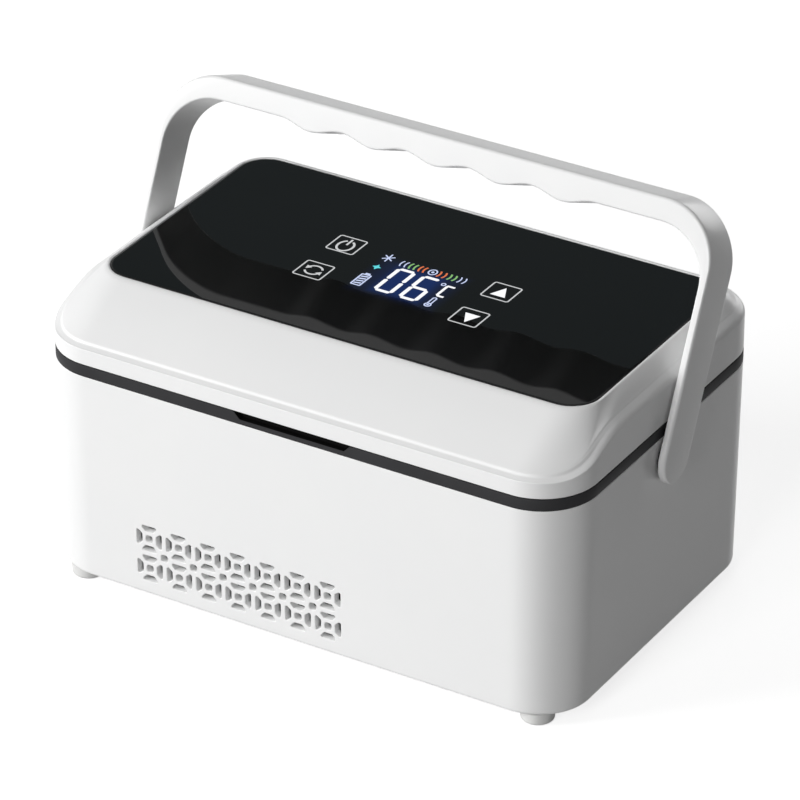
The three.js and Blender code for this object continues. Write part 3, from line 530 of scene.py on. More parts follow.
def satin_aluminium():
    finish = Finish("satin_aluminium", Metallic=1.0)
    brush = finish.grain(240, 5.0, (0.15, 6.0, 6.0))
    finish.toned(brush, (0.62, 0.63, 0.64), (0.78, 0.79, 0.80), 0.3, 0.18)
    return finish.relief(brush, 0.01, 0.4)


def plated_steel():
    finish = Finish("plated_steel", Metallic=1.0)
    finish.toned(finish.grain(700, 4.0), (0.47, 0.48, 0.50), (0.64, 0.65, 0.67), 0.24, 0.2)
    return finish.relief(finish.grain(2500, 2.0), 0.006, 0.4)


def cell_foam():
    finish = Finish("cell_foam", IOR=1.4)
    finish.toned(finish.grain(50), (0.76, 0.74, 0.69), (0.84, 0.82, 0.78), 0.75, 0.2)
    return finish.relief(finish.cells(900), 0.3, 0.8)


def white_ceramic():
    finish = Finish("white_ceramic", IOR=1.6)
    speck = finish.grain(1400, 4.0)
    finish.toned(speck, (0.74, 0.73, 0.70), (0.84, 0.83, 0.81), 0.5, 0.2)
    return finish.relief(speck, 0.01, 0.4)


def green_board(name, top_mm):
    """Solder resist with pale tracks below the board's top, and dark parts that stand on it."""
    finish = Finish(name, IOR=1.5)
    values = {
        "Vector": finish.place(),
        "Scale": 210.0,
        "Mortar Size": 0.035,
        "Color1": (0, 0, 0, 1),
        "Color2": (0, 0, 0, 1),
        "Mortar": (1, 1, 1, 1),
    }
    tracks = finish.add("ShaderNodeTexBrick", {"offset": 0.37}, values, out="Color")
    board = finish.mixed(tracks, (0.018, 0.085, 0.035), (0.05, 0.19, 0.08))
    parts = finish.mixed(finish.grain(300), (0.02, 0.02, 0.022), (0.06, 0.06, 0.065))
    standing = finish.axis("Z").above((top_mm + 0.12) * MM)
    finish.feed("Base Color", finish.mixed(standing, board, parts))
    finish.feed("Roughness", 0.34 + 0.2 * finish.grain(500))
    return finish.relief(finish.grain(900, 2.0), 0.03, 0.4)


def battery_wrap():
    finish = Finish("battery_wrap", IOR=1.5)
    crease = finish.grain(180, 4.0, (6.0, 0.6, 6.0))
    finish.toned(crease, (0.03, 0.13, 0.40), (0.06, 0.22, 0.55), 0.25, 0.15)
    return finish.relief(crease, 0.15, 0.6)


def display_film():
    finish = Finish("display_film", IOR=1.5)
    dots = finish.cells(2200)
    finish.toned(dots, (0.012, 0.03, 0.13), (0.03, 0.06, 0.24), 0.15, 0.1)
    return finish.relief(dots, 0.01, 0.4)


def lit_print(name, dim, bright):
    """A sign on the panel that shines evenly, with a faint grain."""
    finish = Finish(name, Roughness=0.4, Emission_Strength=1.0)
    finish.feed("Base Color", finish.mixed(finish.grain(900, 2.0), (0.02, 0.02, 0.02), (0.03, 0.03, 0.03)))
    return finish.feed("Emission Color", finish.mixed(finish.grain(700, 2.0), dim, bright))


FINISHES = {
    "white_plastic": white_moulding(),
    "dark_plastic": dark_moulding(),
    "fan_plastic": fan_moulding(),
    "black_glass": black_glass(),
    "foot_rubber": foot_rubber(),
    "gasket_rubber": gasket_rubber(),
    "aluminium": satin_aluminium(),
    "steel": plated_steel(),
    "foam": cell_foam(),
    "ceramic": white_ceramic(),
    "circuit_board": green_board("control_board_resist", 14.4),
    "battery_wrap": battery_wrap(),
    "display_film": display_film(),
}
TOUCH_BOARD = green_board("touch_board_resist", 105.6)
KEY_PRINT = lit_print("key_print", (0.52, 0.53, 0.54), (0.62, 0.63, 0.64))
DIGIT_LIGHT = lit_print("digit_light", (0.90, 0.92, 0.97), (1.0, 1.0, 1.0))
SIGN_LIGHT = lit_print("sign_light", (0.50, 0.58, 0.85), (0.62, 0.70, 0.95))
SPARK_LIGHT = lit_print("spark_light", (0.04, 0.55, 0.62), (0.12, 0.78, 0.82))
GREEN_LIGHT = lit_print("green_light", (0.16, 0.40, 0.10), (0.24, 0.52, 0.16))
ORANGE_LIGHT = lit_print("orange_light", (0.62, 0.11, 0.015), (0.78, 0.17, 0.03))
NODE_SLOT = {part["node"]: part["material_slot"] for part in frame["record"]["subparts"]}


def dress(piece, body, slot, nodes=(), finish=None):
    """Gives a piece its finish and its body, and lets it stand for the nodes that it draws."""
    piece.data.materials.clear()
    piece.data.materials.append((finish or FINISHES[slot]).material)
    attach(piece, body)
    if nodes:
        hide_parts(*nodes)


# Geometry Nodes: copies of a shape on a grid

GRID_INPUTS = {
    "Shape": "NodeSocketGeometry",
    "Columns": "NodeSocketInt",
    "Rows": "NodeSocketInt",
    "Pitch": "NodeSocketFloat",
    "Finish": "NodeSocketMaterial",
}


def grid_tree():
    tree = bpy.data.node_groups.new("copies_on_a_grid", "GeometryNodeTree")
    for name, kind in GRID_INPUTS.items():
        tree.interface.new_socket(name, in_out="INPUT", socket_type=kind)
    tree.interface.new_socket("Copies", in_out="OUTPUT", socket_type="NodeSocketGeometry")
    graph = Graph(tree)
    given = {name: graph.add("NodeGroupInput", {}, {}, out=name) for name in GRID_INPUTS}
    values = {
        "Vertices X": given["Columns"],
        "Vertices Y": given["Rows"],
        "Size X": (given["Columns"] - 1) * given["Pitch"],
        "Size Y": (given["Rows"] - 1) * given["Pitch"],
    }
    grid = graph.add("GeometryNodeMeshGrid", {}, values, out="Mesh")
    values = {"Points": grid, "Instance": given["Shape"]}
    copies = graph.add("GeometryNodeInstanceOnPoints", {}, values, out="Instances")
    real = graph.add("GeometryNodeRealizeInstances", {}, {"Geometry": copies}, out="Geometry")
    values = {"Geometry": real, "Material": given["Finish"]}
    painted = graph.add("GeometryNodeSetMaterial", {}, values, out="Geometry")
    graph.add("NodeGroupOutput", {}, {"Copies": painted}, out=None)
    return tree


GRID = grid_tree()


def copies_on_grid(name, shell, columns, rows, pitch, finish, place):
    """A drawn shape repeated on a flat grid about the origin, then moved to its place in metres."""
    mesh = bpy.data.meshes.new(name)
    mesh.from_pydata([p * MM for p in shell.points], [], shell.faces)
    tidy_mesh(mesh)
    piece = new_object(name, mesh)
    change = piece.modifiers.new("copies", "NODES")
    change.node_group = GRID
    inputs = {"Columns": columns, "Rows": rows, "Pitch": pitch * MM, "Finish": finish.material}
    for item in GRID.interface.items_tree:
        if item.in_out == "INPUT" and item.name in inputs:
            change[item.identifier] = inputs[item.name]
    settle(piece)
    piece.data.transform(place)
    return piece


# Case


def draft_at(z):
    return CASE_DRAFT * (CASE_TOP - z) / (CASE_TOP - CASE_BOTTOM)


def case_ring(inward, z):
    return SEAM.grown(-draft_at(z) - inward).ring(z)


def rounded(corners, radius, extra, steps=5):
    """A convex shape with round corners, drawn larger by extra all round."""
    inset = []
    count = len(corners)
    points = [Vector(c) for c in corners]
    for i in range(count):
        before, here, after = points[i - 1], points[i], points[(i + 1) % count]
        a = (here - before).normalized()
        b = (after - here).normalized()
        half = (b - a).normalized()
        reach = radius / max(abs(half.x * a.y - half.y * a.x), 1e-6)
        inset.append((here + half * reach, a, b))
    made = []
    for middle, a, b in inset:
        start = math.atan2(-a.x, a.y)
        turn = -a.angle_signed(b)
        for k in range(steps + 1):
            at = start + turn * k / steps
            made.append(middle + (radius + extra) * Vector((math.cos(at), math.sin(at))))
    return made


# The vent's openings over the wall, and how much wider they are at each depth in it
PETAL = ((-3.6, 5.3), (-1.65, 3.0), (1.65, 3.0), (3.6, 5.3))
PETAL_ROUND = 0.55
HOLE = ((-1.4, 1.4), (-1.4, -1.4), (1.4, -1.4), (1.4, 1.4))
HOLE_ROUND = 0.95
LIP_STEPS = ((0.42, -0.8), (0.42, -0.12), (0.17, 0.07), (0.05, 0.18), (0.0, 0.36), (0.0, 5.0))


def vent_opening(shell, corners, radius):
    """The space that one opening cuts: x and y over the wall, z out of it."""
    return shell.loft([[(p.x, p.y, -z) for p in rounded(corners, radius, by)] for by, z in LIP_STEPS])


def vent_cell():
    """Four petals and a hole."""
    shell = Shell()
    for turn in (0, 90, 180, 270):
        spin = Matrix.Rotation(math.radians(turn), 2)
        vent_opening(shell, [spin @ Vector(p) for p in PETAL], PETAL_ROUND)
    return vent_opening(shell, HOLE, HOLE_ROUND)


def vent_cutters():
    tilt = math.atan(CASE_DRAFT / (CASE_TOP - CASE_BOTTOM))
    wall_y = -SEAM.depth / 2 + draft_at(VENT_Z) + CASE_MIDDLE_Y
    turn = Matrix.Rotation(math.radians(90) + tilt, 4, "X")
    place = Matrix.Translation((VENT_X * MM, wall_y * MM, VENT_Z * MM)) @ turn
    made = []
    for name, shell, fewer in (
        ("vent_petals", vent_cell(), 0),
        ("vent_joints", vent_opening(Shell(), HOLE, HOLE_ROUND), 1),
    ):
        columns, rows = VENT_COLUMNS - fewer, VENT_ROWS - fewer
        white = FINISHES["white_plastic"]
        made.append(copies_on_grid(name, shell, columns, rows, VENT_PITCH, white, place))
    return made


def pivot_bores(shell, near, far):
    for side in SIDES:
        shell.barrel(side * near, side * far, 0, PIVOT_Z, PIVOT_BORE, steps=40)


def make_case():
    levels = [(CASE_LIP, CASE_BOTTOM)]
    for c, s in quarter(8):
        levels.append((CASE_BOTTOM_ROUND * (1 - s), CASE_BOTTOM + CASE_BOTTOM_ROUND * (1 - c)))
    levels += [(0, z) for z in CASE_LEVELS]
    levels += CASE_TOP_EDGE
    levels += [(CASE_WALL, z) for z in CASE_INNER_LEVELS]
    levels.append((CASE_LIP, CASE_LIP_TOP))
    shell = Shell().loft([case_ring(inward, z) for inward, z in levels], closed=True)
    case = new_object("case_moulding", shell.mesh("case_moulding"))
    holes = Shell()
    pivot_bores(holes, *CASE_BORE_ENDS)
    inlet = oval(INLET_X, INLET_Z, INLET_RADIUS, INLET_RADIUS, 40)
    holes.loft([[(x, y, z) for x, z in inlet] for y in INLET_DEPTH])
    for _, sx, sy in CORNERS:
        holes.turned([(FOOT_HOLE, z) for z in FOOT_HOLE_LEVELS], sx * FOOT_X, sy * FOOT_Y)
    cutters = [new_object("case_holes", holes.mesh("case_holes")), *vent_cutters()]
    cut_away(case, cutters, crease=32)
    dress(case, "case", "white_plastic", ["case_shell"])


def make_feet():
    edge = [(FOOT_SOLE + FOOT_ROUND * s, FOOT_ROUND * (1 - c)) for c, s in quarter(6, 1)]
    profile = [*FOOT_WELL, *edge, *FOOT_SIDE]
    for name, sx, sy in CORNERS:
        shell = Shell().turned(profile, sx * FOOT_X, sy * FOOT_Y, 48, closed=True)
        foot = new_object(f"rubber_foot_{name}", shell.mesh(f"rubber_foot_{name}"))
        dress(foot, "case", "foot_rubber", [f"foot_{name}"])


def knuckle(shell, x0, x1, root):
    """A hinge knuckle and the root that joins it to its piece."""
    low, high = min(x0, x1), max(x0, x1)
    shell.barrel(low, high, HINGE_Y, HINGE_Z, HINGE_RADIUS, HINGE_BORE)
    shell.block((low, *root[0]), (high, *root[1]))


def notch_space():
    """The fingernail notch, and the room for the pivot bushes in the tongue."""
    corners = (
        (-NOTCH_FLOOR_HALF, DECK_BOTTOM),
        (NOTCH_FLOOR_HALF, DECK_BOTTOM),
        (NOTCH_HALF, NOTCH_TOP),
        (-NOTCH_HALF, NOTCH_TOP),
    )
    shell = Shell().loft([[(x, y, z) for x, z in corners] for y in (NOTCH_FRONT, NOTCH_BACK)])
    pivot_bores(shell, *BAND_BORE_ENDS)
    return new_object("notch_space", shell.mesh("notch_space"))


def make_band():
    tongue = SEAM.grown(-CASE_WALL - FIT)
    inner = tongue.grown(-TONGUE_WALL)
    levels = (
        (SEAM.grown(-BAND_EDGE), CASE_TOP),
        (SEAM.grown(-BAND_BEND), CASE_TOP + BAND_BEND),
        (SEAM, CASE_TOP + BAND_EDGE),
        (SEAM, BAND_TOP - BAND_EDGE),
        (SEAM.grown(-BAND_BEND), BAND_TOP - BAND_BEND),
        (SEAM.grown(-BAND_EDGE), BAND_TOP),
        (CHAMBER.grown(DECK_EDGE), BAND_TOP),
        (CHAMBER.grown(DECK_BEND), BAND_TOP - DECK_BEND),
        (CHAMBER, BAND_TOP - DECK_EDGE),
        (CHAMBER, DECK_BOTTOM),
        (inner, DECK_BOTTOM),
        (inner, TONGUE_BOTTOM),
        (tongue, TONGUE_BOTTOM),
        (tongue, CASE_TOP),
    )
    shell = Shell().loft([outline.ring(z) for outline, z in levels], closed=True)
    band = new_object("seam_band", shell.mesh("seam_band"))
    cut_away(band, [notch_space()])
    knuckles = Shell()
    near, far = BAND_KNUCKLE_ENDS
    for side in SIDES:
        for end in SIDES:
            x = side * HINGE_X
            knuckle(knuckles, x + end * near, x + end * far, BAND_KNUCKLE_ROOT)
    add_shapes(band, knuckles)
    dress(band, "case", "dark_plastic", ["seam_frame"])


# Lid. Its edge has a round, a ledge and a riser, given by how far in each ends and by the heights over the
# shoulder line where they start and end.

FRONT_INSETS = (0.45, 2.1, 3.04)
FRONT_HEIGHTS = (-0.55, -0.25, 0.4, 1.5)
FRONT_SLOPE = 0.577
SIDE_INSETS = (1.4, 3.0, 3.8)
SIDE_HEIGHTS = (-3.2, -0.9, 0.1, 0.85)
SIDE_FLATTENING = 0.38
LID_EDGE_INSETS = (
    *(0, 0.03, 0.1, 0.2, 0.32, 0.45, 0.7, 1.0, 1.4, 1.7, 2.1),
    *(2.33, 2.57, 2.8, 3.04, 3.2, 3.4, 3.6, 3.8),
)


def crest_share(y):
    return ease(y, CREST_START, CREST_END)


def crest(y):
    """Height of the lid's shoulder line, which dips to the front."""
    return BAND_TOP + LID_RIM + (SHOULDER_TOP - BAND_TOP - LID_RIM) * crest_share(y)


def edge_height(inset, insets, heights, flattening):
    """Height over the shoulder line: a round, a tilted ledge and a riser."""
    round_end, ledge_end, riser_end = insets
    low, edge, ledge, top = heights
    if inset < round_end:
        share = inset / round_end
        return blend(low, edge, blend(math.sqrt(1 - (1 - share) ** 2), share, flattening))
    if inset < ledge_end:
        return blend(edge, ledge, (inset - round_end) / (ledge_end - round_end))
    return blend(ledge, top, ease(inset, ledge_end, riser_end))


def lid_edge(inset, y):
    """Height of the lid's edge, sharp across the front and soft along the sides and the rear."""
    front = edge_height(inset, FRONT_INSETS, FRONT_HEIGHTS, 0)
    front += FRONT_SLOPE * max(inset - FRONT_INSETS[-1], 0)
    side = edge_height(inset, SIDE_INSETS, SIDE_HEIGHTS, SIDE_FLATTENING)
    return crest(y) + blend(front, side, crest_share(y))


def lid_ring(outline, z):
    """The outline at one height, or at heights that a function gives for each y."""
    points = outline.points(22, 4, 40, 0.7)
    return [(p.x, p.y, z(p.y) if callable(z) else z) for p in points]


def lid_rings():
    inner = SEAM.grown(-LID_WALL)
    rings = [
        lid_ring(SEAM.grown(-LID_BOTTOM_EDGE), LID_BOTTOM),
        lid_ring(SEAM, LID_BOTTOM + LID_BOTTOM_EDGE),
        lid_ring(SEAM, lambda y: lid_edge(0, y) - EDGE_SUPPORT),
    ]
    rings += [lid_ring(SEAM.grown(-inset), partial(lid_edge, inset)) for inset in LID_EDGE_INSETS]
    lower = rings[-1]
    foot = SEAM.grown(-LID_EDGE_INSETS[-1])
    border = GLASS.grown(GLASS_BORDER)
    for k in range(1, SLOPE_STEPS + 1):
        share = k / SLOPE_STEPS
        bulge = SLOPE_BULGE * math.sin(math.pi * share)
        upper = lid_ring(foot.towards(border, share), 0)
        heights = [blend(z, GLASS_TOP, share) + bulge for _, _, z in lower]
        rings.append([(x, y, z) for (x, y, _), z in zip(upper, heights)])
    levels = (
        *((GLASS.grown(out), GLASS_TOP + up) for out, up in GLASS_LIP),
        (GLASS.grown(GLASS_GAP), GLASS_BOTTOM),
        (PANEL_WINDOW, GLASS_BOTTOM),
        (PANEL_WINDOW, LID_ROOF),
        (ROOF, LID_ROOF),
        (inner, lambda y: min(crest(y) - LID_ROOF_DROP, LID_ROOF - 1)),
        (inner, LID_BOTTOM),
    )
    return rings + [lid_ring(outline, z) for outline, z in levels]


def make_lid():
    shell = Shell().loft(lid_rings(), closed=True)
    for side in SIDES:
        x = side * HINGE_X
        knuckle(shell, x - LID_KNUCKLE_HALF, x + LID_KNUCKLE_HALF, LID_KNUCKLE_ROOT)
    for _, sx, sy in CORNERS:
        top = LID_BOSS_REAR_TOP if sy > 0 else LID_BOSS_FRONT_TOP
        profile = (
            (LID_BOSS_BORE, LID_BOSS_BOTTOM),
            (LID_BOSS_RADIUS, LID_BOSS_BOTTOM),
            (LID_BOSS_RADIUS, top),
            (LID_BOSS_BORE, top),
        )
        shell.turned(profile, sx * LID_BOSS_X, sy * LID_BOSS_Y, 24, closed=True)
    lid = new_object("lid_moulding", shell.mesh("lid_moulding", crease=42))
    dress(lid, "lid", "white_plastic", ["lid_shell"])


def make_glass():
    steps = [
        (-GLASS_UNDER_EDGE, GLASS_BOTTOM),
        (0, GLASS_BOTTOM + GLASS_UNDER_EDGE),
        (0, GLASS_TOP - GLASS_EDGE),
    ]
    steps += [(-GLASS_EDGE * (1 - c), GLASS_TOP - GLASS_EDGE * (1 - s)) for c, s in quarter(5, 1)]
    steps.append((-GLASS_FACE_INSET, GLASS_TOP))
    shell = Shell().loft([GLASS.grown(by).ring(z, 22, 0.0) for by, z in steps])
    glass = new_object("panel_glass", shell.mesh("panel_glass"))
    dress(glass, "lid", "black_glass", ["glass_panel"])


# Signs on the glass, drawn flat and seen from above

KEY_ROUND = 1.1
KEY_LINE = 0.55
POWER_KEY = (-33.1, 18.0, 11.8)
MODE_KEY = (-33.2, -4.5, 11.8)
UP_KEY = (32.9, 16.0, 11.7)
DOWN_KEY = (32.4, -6.0, 11.7)
STATUS_Y = 16.1
STATUS_RX = 1.9
STATUS_RY = 2.9
SEGMENTS = {0: "abcdef", 6: "acdefg"}


class Signs(Shell):
    """Flat signs that lie on the glass."""

    low = GLASS_TOP + 0.01
    high = GLASS_TOP + 0.04

    def area(self, points):
        return self.loft([[(p[0], p[1], z) for p in points] for z in (self.low, self.high)])

    def stroke(self, points, width):
        """An open line of one width, with mitred bends."""
        line = [Vector(p) for p in points]
        left, right = [], []
        for i, here in enumerate(line):
            a = (here - line[i - 1]).normalized() if i else (line[1] - here).normalized()
            b = (line[i + 1] - here).normalized() if i + 1 < len(line) else a
            along = (a + b).normalized()
            across = Vector((-along.y, along.x)) * (width / 2 / max(along.dot(a), 0.3))
            left.append(here + across)
            right.append(here - across)
        return self.area(left + right[::-1])

    def band(self, outer, inner):
        """A closed line between two outlines of as many points."""
        rings = []
        for points, z in ((outer, self.low), (outer, self.high), (inner, self.high), (inner, self.low)):
            rings.append([(*p, z) for p in points])
        return self.loft(rings, closed=True)

    def arc(self, x, y, rx, ry, start, end, width, steps=20):
        turns = [math.radians(blend(start, end, k / steps)) for k in range(steps + 1)]
        return self.stroke([(x + rx * math.cos(t), y + ry * math.sin(t)) for t in turns], width)

    def loop(self, x, y, rx, ry, width, steps=28):
        outer, inner = (oval(x, y, rx + by, ry + by, steps) for by in (width / 2, -width / 2))
        return self.band(outer, inner)

    def disc(self, x, y, rx, ry):
        return self.area(oval(x, y, rx, ry, 24))

    def frame(self, x, y, length, depth, radius, width):
        """The line inside a rounded rectangle."""
        outline = Outline(length, depth, radius)
        outer, inner = (
            [(p.x + x, p.y + y) for p in o.points(6)] for o in (outline, outline.grown(-width))
        )
        return self.band(outer, inner)

    def key(self, x, y, size):
        return self.frame(x, y, size, size, KEY_ROUND, KEY_LINE)

    def status_arcs(self, left, right, width):
        """Arcs of the status row, open to the right and to the left, by the x of their backs."""
        for x in left:
            self.arc(x + STATUS_RX, STATUS_Y, STATUS_RX, STATUS_RY, 135, 225, width)
        for x in right:
            self.arc(x - STATUS_RX, STATUS_Y, STATUS_RX, STATUS_RY, 45, -45, width)
        return self

    def digit(self, number, x, y, width=7.9, height=18.9, stroke=1.55, gap=0.22):
        """One number of a seven-segment display."""
        half = stroke / 2
        left, right = x - width / 2 + half, x + width / 2 - half
        low, high = y - height / 2 + half, y + height / 2 - half
        reach = gap / math.sqrt(2)
        ends = {
            "a": ((left, high), (right, high)),
            "b": ((right, high), (right, y)),
            "c": ((right, y), (right, low)),
            "d": ((left, low), (right, low)),
            "e": ((left, low), (left, y)),
            "f": ((left, y), (left, high)),
            "g": ((left, y), (right, y)),
        }
        for name in SEGMENTS[number]:
            a, b = Vector(ends[name][0]), Vector(ends[name][1])
            along = (b - a).normalized()
            across = Vector((-along.y, along.x)) * half
            a, b = a + along * reach, b - along * reach
            tip = along * (half * 0.8)
            self.area([a, a + tip - across, b - tip - across, b, b - tip + across, a + tip + across])


def sign_piece(name, signs, finish):
    dress(new_object(name, signs.mesh(name)), "lid", "display_film", finish=finish)


def make_key_signs():
    x, y, _ = POWER_KEY
    power = Signs().key(*POWER_KEY)
    power.arc(x, y - 0.9, 3.0, 3.9, 112, 428, 0.85, 40)
    power.stroke([(x, y - 0.1), (x, y + 4.4)], 0.8)
    sign_piece("power_key_print", power, KEY_PRINT)

    x, y, _ = MODE_KEY
    mode = Signs().key(*MODE_KEY)
    radius = 3.2
    for turn in (0, 180):
        mode.arc(x, y, radius, radius, turn + 25, turn + 150, 0.8, 24)
        tip = math.radians(turn + 160)
        out = Vector((math.cos(tip), math.sin(tip)))
        along = Vector((-out.y, out.x))
        back = Vector((x, y)) + radius * out - along * 0.9
        mode.area([back + along * 2.2, back + out * 1.25, back - out * 1.25])
    sign_piece("mode_key_print", mode, KEY_PRINT)

    sign_piece("up_key_print", Signs().key(*UP_KEY), KEY_PRINT)
    sign_piece("down_key_print", Signs().key(*DOWN_KEY), KEY_PRINT)
    arrows = Signs()
    arrows.area([(30.0, 12.8), (36.1, 12.8), (33.1, 19.4)])
    arrows.area([(29.6, -3.5), (32.7, -9.9), (35.7, -3.5)])
    sign_piece("arrow_signs", arrows, DIGIT_LIGHT)


def add_battery(signs):
    signs.frame(-14.9, -1.9, 4.3, 8.8, 0.6, 0.62)
    signs.area([(-15.9, 2.6), (-13.9, 2.6), (-13.9, 3.5), (-15.9, 3.5)])
    for k in range(4):
        y = -5.1 + 1.75 * k
        signs.area([(-16.2, y - 0.1), (-13.6, y + 0.5), (-13.6, y + 1.35), (-16.2, y + 0.75)])


def add_thermometer(signs):
    x, bulb = 15.1, -5.6
    left, right = x - 0.7, x + 0.7
    signs.loop(x, bulb, 1.15, 1.15, 0.6)
    signs.stroke([(left, -4.7), (left, -0.3), (x, 0.2), (right, -0.3), (right, -4.7)], 0.5)
    signs.disc(x, bulb, 0.5, 0.5)


def add_snowflake(signs):
    middle = Vector((-14.8, 17.2))
    for turn in (90, 150, 210):
        t = math.radians(turn)
        reach = Vector((math.cos(t) * 2.3, math.sin(t) * 2.9))
        signs.stroke([middle - reach, middle + reach], 0.55)


def spark():
    points = []
    for k in range(8):
        reach = 0.85 if k % 2 else 1.75
        turn = math.radians(90 + 45 * k)
        points.append((-15.0 + reach * math.cos(turn), 9.2 + reach * math.sin(turn) * 1.15))
    return Signs().area(points)


def make_display_signs():
    digits = Signs()
    digits.digit(0, -3.95, 3.5)
    digits.digit(6, 6.6, 3.2)
    digits.stroke([(17.3, 9.9), (14.6, 9.9), (14.3, 9.3), (14.3, 2.6), (14.9, 1.9), (17.2, 1.9)], 1.05)
    sign_piece("temperature_digits", digits, DIGIT_LIGHT)

    status = Signs()
    status.loop(12.4, 10.2, 0.75, 0.85, 0.5)
    add_thermometer(status)
    add_battery(status)
    add_snowflake(status)
    status.loop(4.4, STATUS_Y, 1.55, 1.9, 0.55)
    status.disc(4.4, STATUS_Y, 0.55, 0.7)
    status.status_arcs((-8.9, -7.0), (15.9, 17.9), 0.5)
    sign_piece("status_signs", status, SIGN_LIGHT)

    sign_piece("spark_sign", spark(), SPARK_LIGHT)
    sign_piece("green_arcs", Signs().status_arcs((-5.1, -3.1), (11.75, 13.8), 0.7), GREEN_LIGHT)
    sign_piece("orange_arcs", Signs().status_arcs((-1.1, 0.8), (7.4, 9.6), 0.7), ORANGE_LIGHT)


# Handle


def handle_place(u, v, w):
    """From the handle's own place, across, along and to its front, to the case's."""
    lean_y, lean_z = math.sin(HANDLE_LEAN), math.cos(HANDLE_LEAN)
    return Vector((u, v * lean_y - w * lean_z, PIVOT_Z + v * lean_z + w * lean_y))


def handle_section(inner, outer, half, rear_rise):
    """One section: inner and outer point of the bail, half its width, and its four round edges."""
    inner, outer = Vector(inner), Vector(outer)
    thick = (outer - inner).length
    out = (outer - inner) / thick
    limit = min(half * 0.95, thick * 0.48)
    edge = min(HANDLE_EDGE, limit)
    under = min(HANDLE_INNER_EDGE, limit, thick - edge)
    made = []
    corners = (
        (thick, half, edge, 90, 0),
        (thick + rear_rise, -half, edge, 0, -90),
        (0, -half, under, -90, -180),
        (0, half, under, 180, 90),
    )
    for n, w, radius, start, end in corners:
        cn = n - radius if n else radius
        cw = w - radius if w > 0 else w + radius
        for k in range(HANDLE_EDGE_STEPS + 1):
            turn = math.radians(blend(start, end, k / HANDLE_EDGE_STEPS))
            at = inner + out * (cn + radius * math.cos(turn))
            made.append(handle_place(at.x, at.y, cw + radius * math.sin(turn)))
    return made


def finger_dip(x):
    if abs(x) >= FINGER_REACH:
        return 0.0
    return FINGER_DIP * math.sin(math.pi * (x + FINGER_REACH) / FINGER_PITCH) ** 2


def handle_side():
    """Sections of the right arm from its round end up, and of the corner above it."""
    inner_x, inner_v = ARM_INNER - GRIP_CORNER, BAR_UNDER - GRIP_CORNER
    outer_x, outer_v = ARM_OUTER - OUTER_CORNER, BAR_TOP - OUTER_CORNER
    made = []
    for k in range(ARM_STEPS + 1):
        turn = math.radians(blend(ARM_ROUND_START, 0, k / ARM_STEPS))
        v = HANDLE_HALF * math.sin(turn)
        made.append(((ARM_INNER, v), (ARM_OUTER, v), HANDLE_HALF * math.cos(turn), 0.0))
    for k in range(1, ARM_STEPS + 1):
        v_in, v_out = inner_v * k / ARM_STEPS, outer_v * k / ARM_STEPS
        made.append(((ARM_INNER, v_in), (ARM_OUTER, v_out), HANDLE_HALF, 0.0))
    for k, (c, s) in enumerate(quarter(CORNER_STEPS, 1), 1):
        inner = (inner_x + GRIP_CORNER * c, inner_v + GRIP_CORNER * s)
        outer = (outer_x + OUTER_CORNER * c, outer_v + OUTER_CORNER * s)
        made.append((inner, outer, HANDLE_HALF, BAR_REAR_RISE * ease(k / CORNER_STEPS, 0.3, 1)))
    return made


def make_handle():
    side = handle_side()
    wave = [FINGER_REACH - 2 * FINGER_REACH * k / FINGER_STEPS for k in range(FINGER_STEPS + 1)]
    sections = list(side)
    for x in (*BAR_ENDS, *wave, *(-x for x in reversed(BAR_ENDS))):
        sections.append(((x, BAR_UNDER - finger_dip(x)), (x, BAR_TOP), HANDLE_HALF, BAR_REAR_RISE))
    for inner, outer, half, rise in reversed(side):
        sections.append(((-inner[0], inner[1]), (-outer[0], outer[1]), half, rise))
    shell = Shell().loft([handle_section(*s) for s in sections])
    for sx in SIDES:
        stub = [[handle_place(sx * x, *p) for p in oval(0, 0, r, r, 36)] for x, r in STUB_PROFILE]
        shell.loft(stub, closed=True)
    handle = new_object("carrying_handle", shell.mesh("carrying_handle", crease=40))
    nodes = ["handle_bar", "handle_arm_left", "handle_arm_right"]
    dress(handle, "carry_handle", "white_plastic", nodes)


# Pieces that keep their drawn shape, with softened edges

DRAWN = {
    *("case_shell", "seam_frame", "lid_shell", "glass_panel"),
    *("handle_bar", "handle_arm_left", "handle_arm_right"),
    *(f"foot_{name}" for name, _, _ in CORNERS),
}
SOFT_EDGE = 0.15
SOFT_EDGES = {
    "base_plate": 0.4,
    "chamber_liner": 0.5,
    "lid_liner": 0.6,
    "lid_gasket": 0.6,
    "insulation_jacket": 0.6,
}


def soften(node, body, edge):
    mesh = frame["nodes"][node].data.copy()
    mesh.name = f"{node}_soft"
    work = bmesh.new()
    work.from_mesh(mesh)
    bmesh.ops.remove_doubles(work, verts=work.verts, dist=CAD_WELD * MM)
    bmesh.ops.dissolve_limit(
        work, angle_limit=math.radians(0.6), verts=work.verts, edges=work.edges, delimit={"NORMAL"}
    )
    work.to_mesh(mesh)
    work.free()
    piece = new_object(f"{node}_soft", mesh)
    change = piece.modifiers.new("softened_edges", "BEVEL")
    change.width = edge * MM
    change.segments = 2
    change.limit_method = "ANGLE"
    change.angle_limit = math.radians(50)
    change.use_clamp_overlap = True
    settle(piece, crease=32)
    finish = TOUCH_BOARD if node == "touch_board" else None
    dress(piece, body, NODE_SLOT[node], [node], finish)


def make_inner_pieces():
    for body, members in frame["record"]["behaviour"]["bodies"].items():
        for node in members:
            if node not in DRAWN:
                soften(node, body, SOFT_EDGES.get(node, SOFT_EDGE))


# Room, lamps and camera, in metres

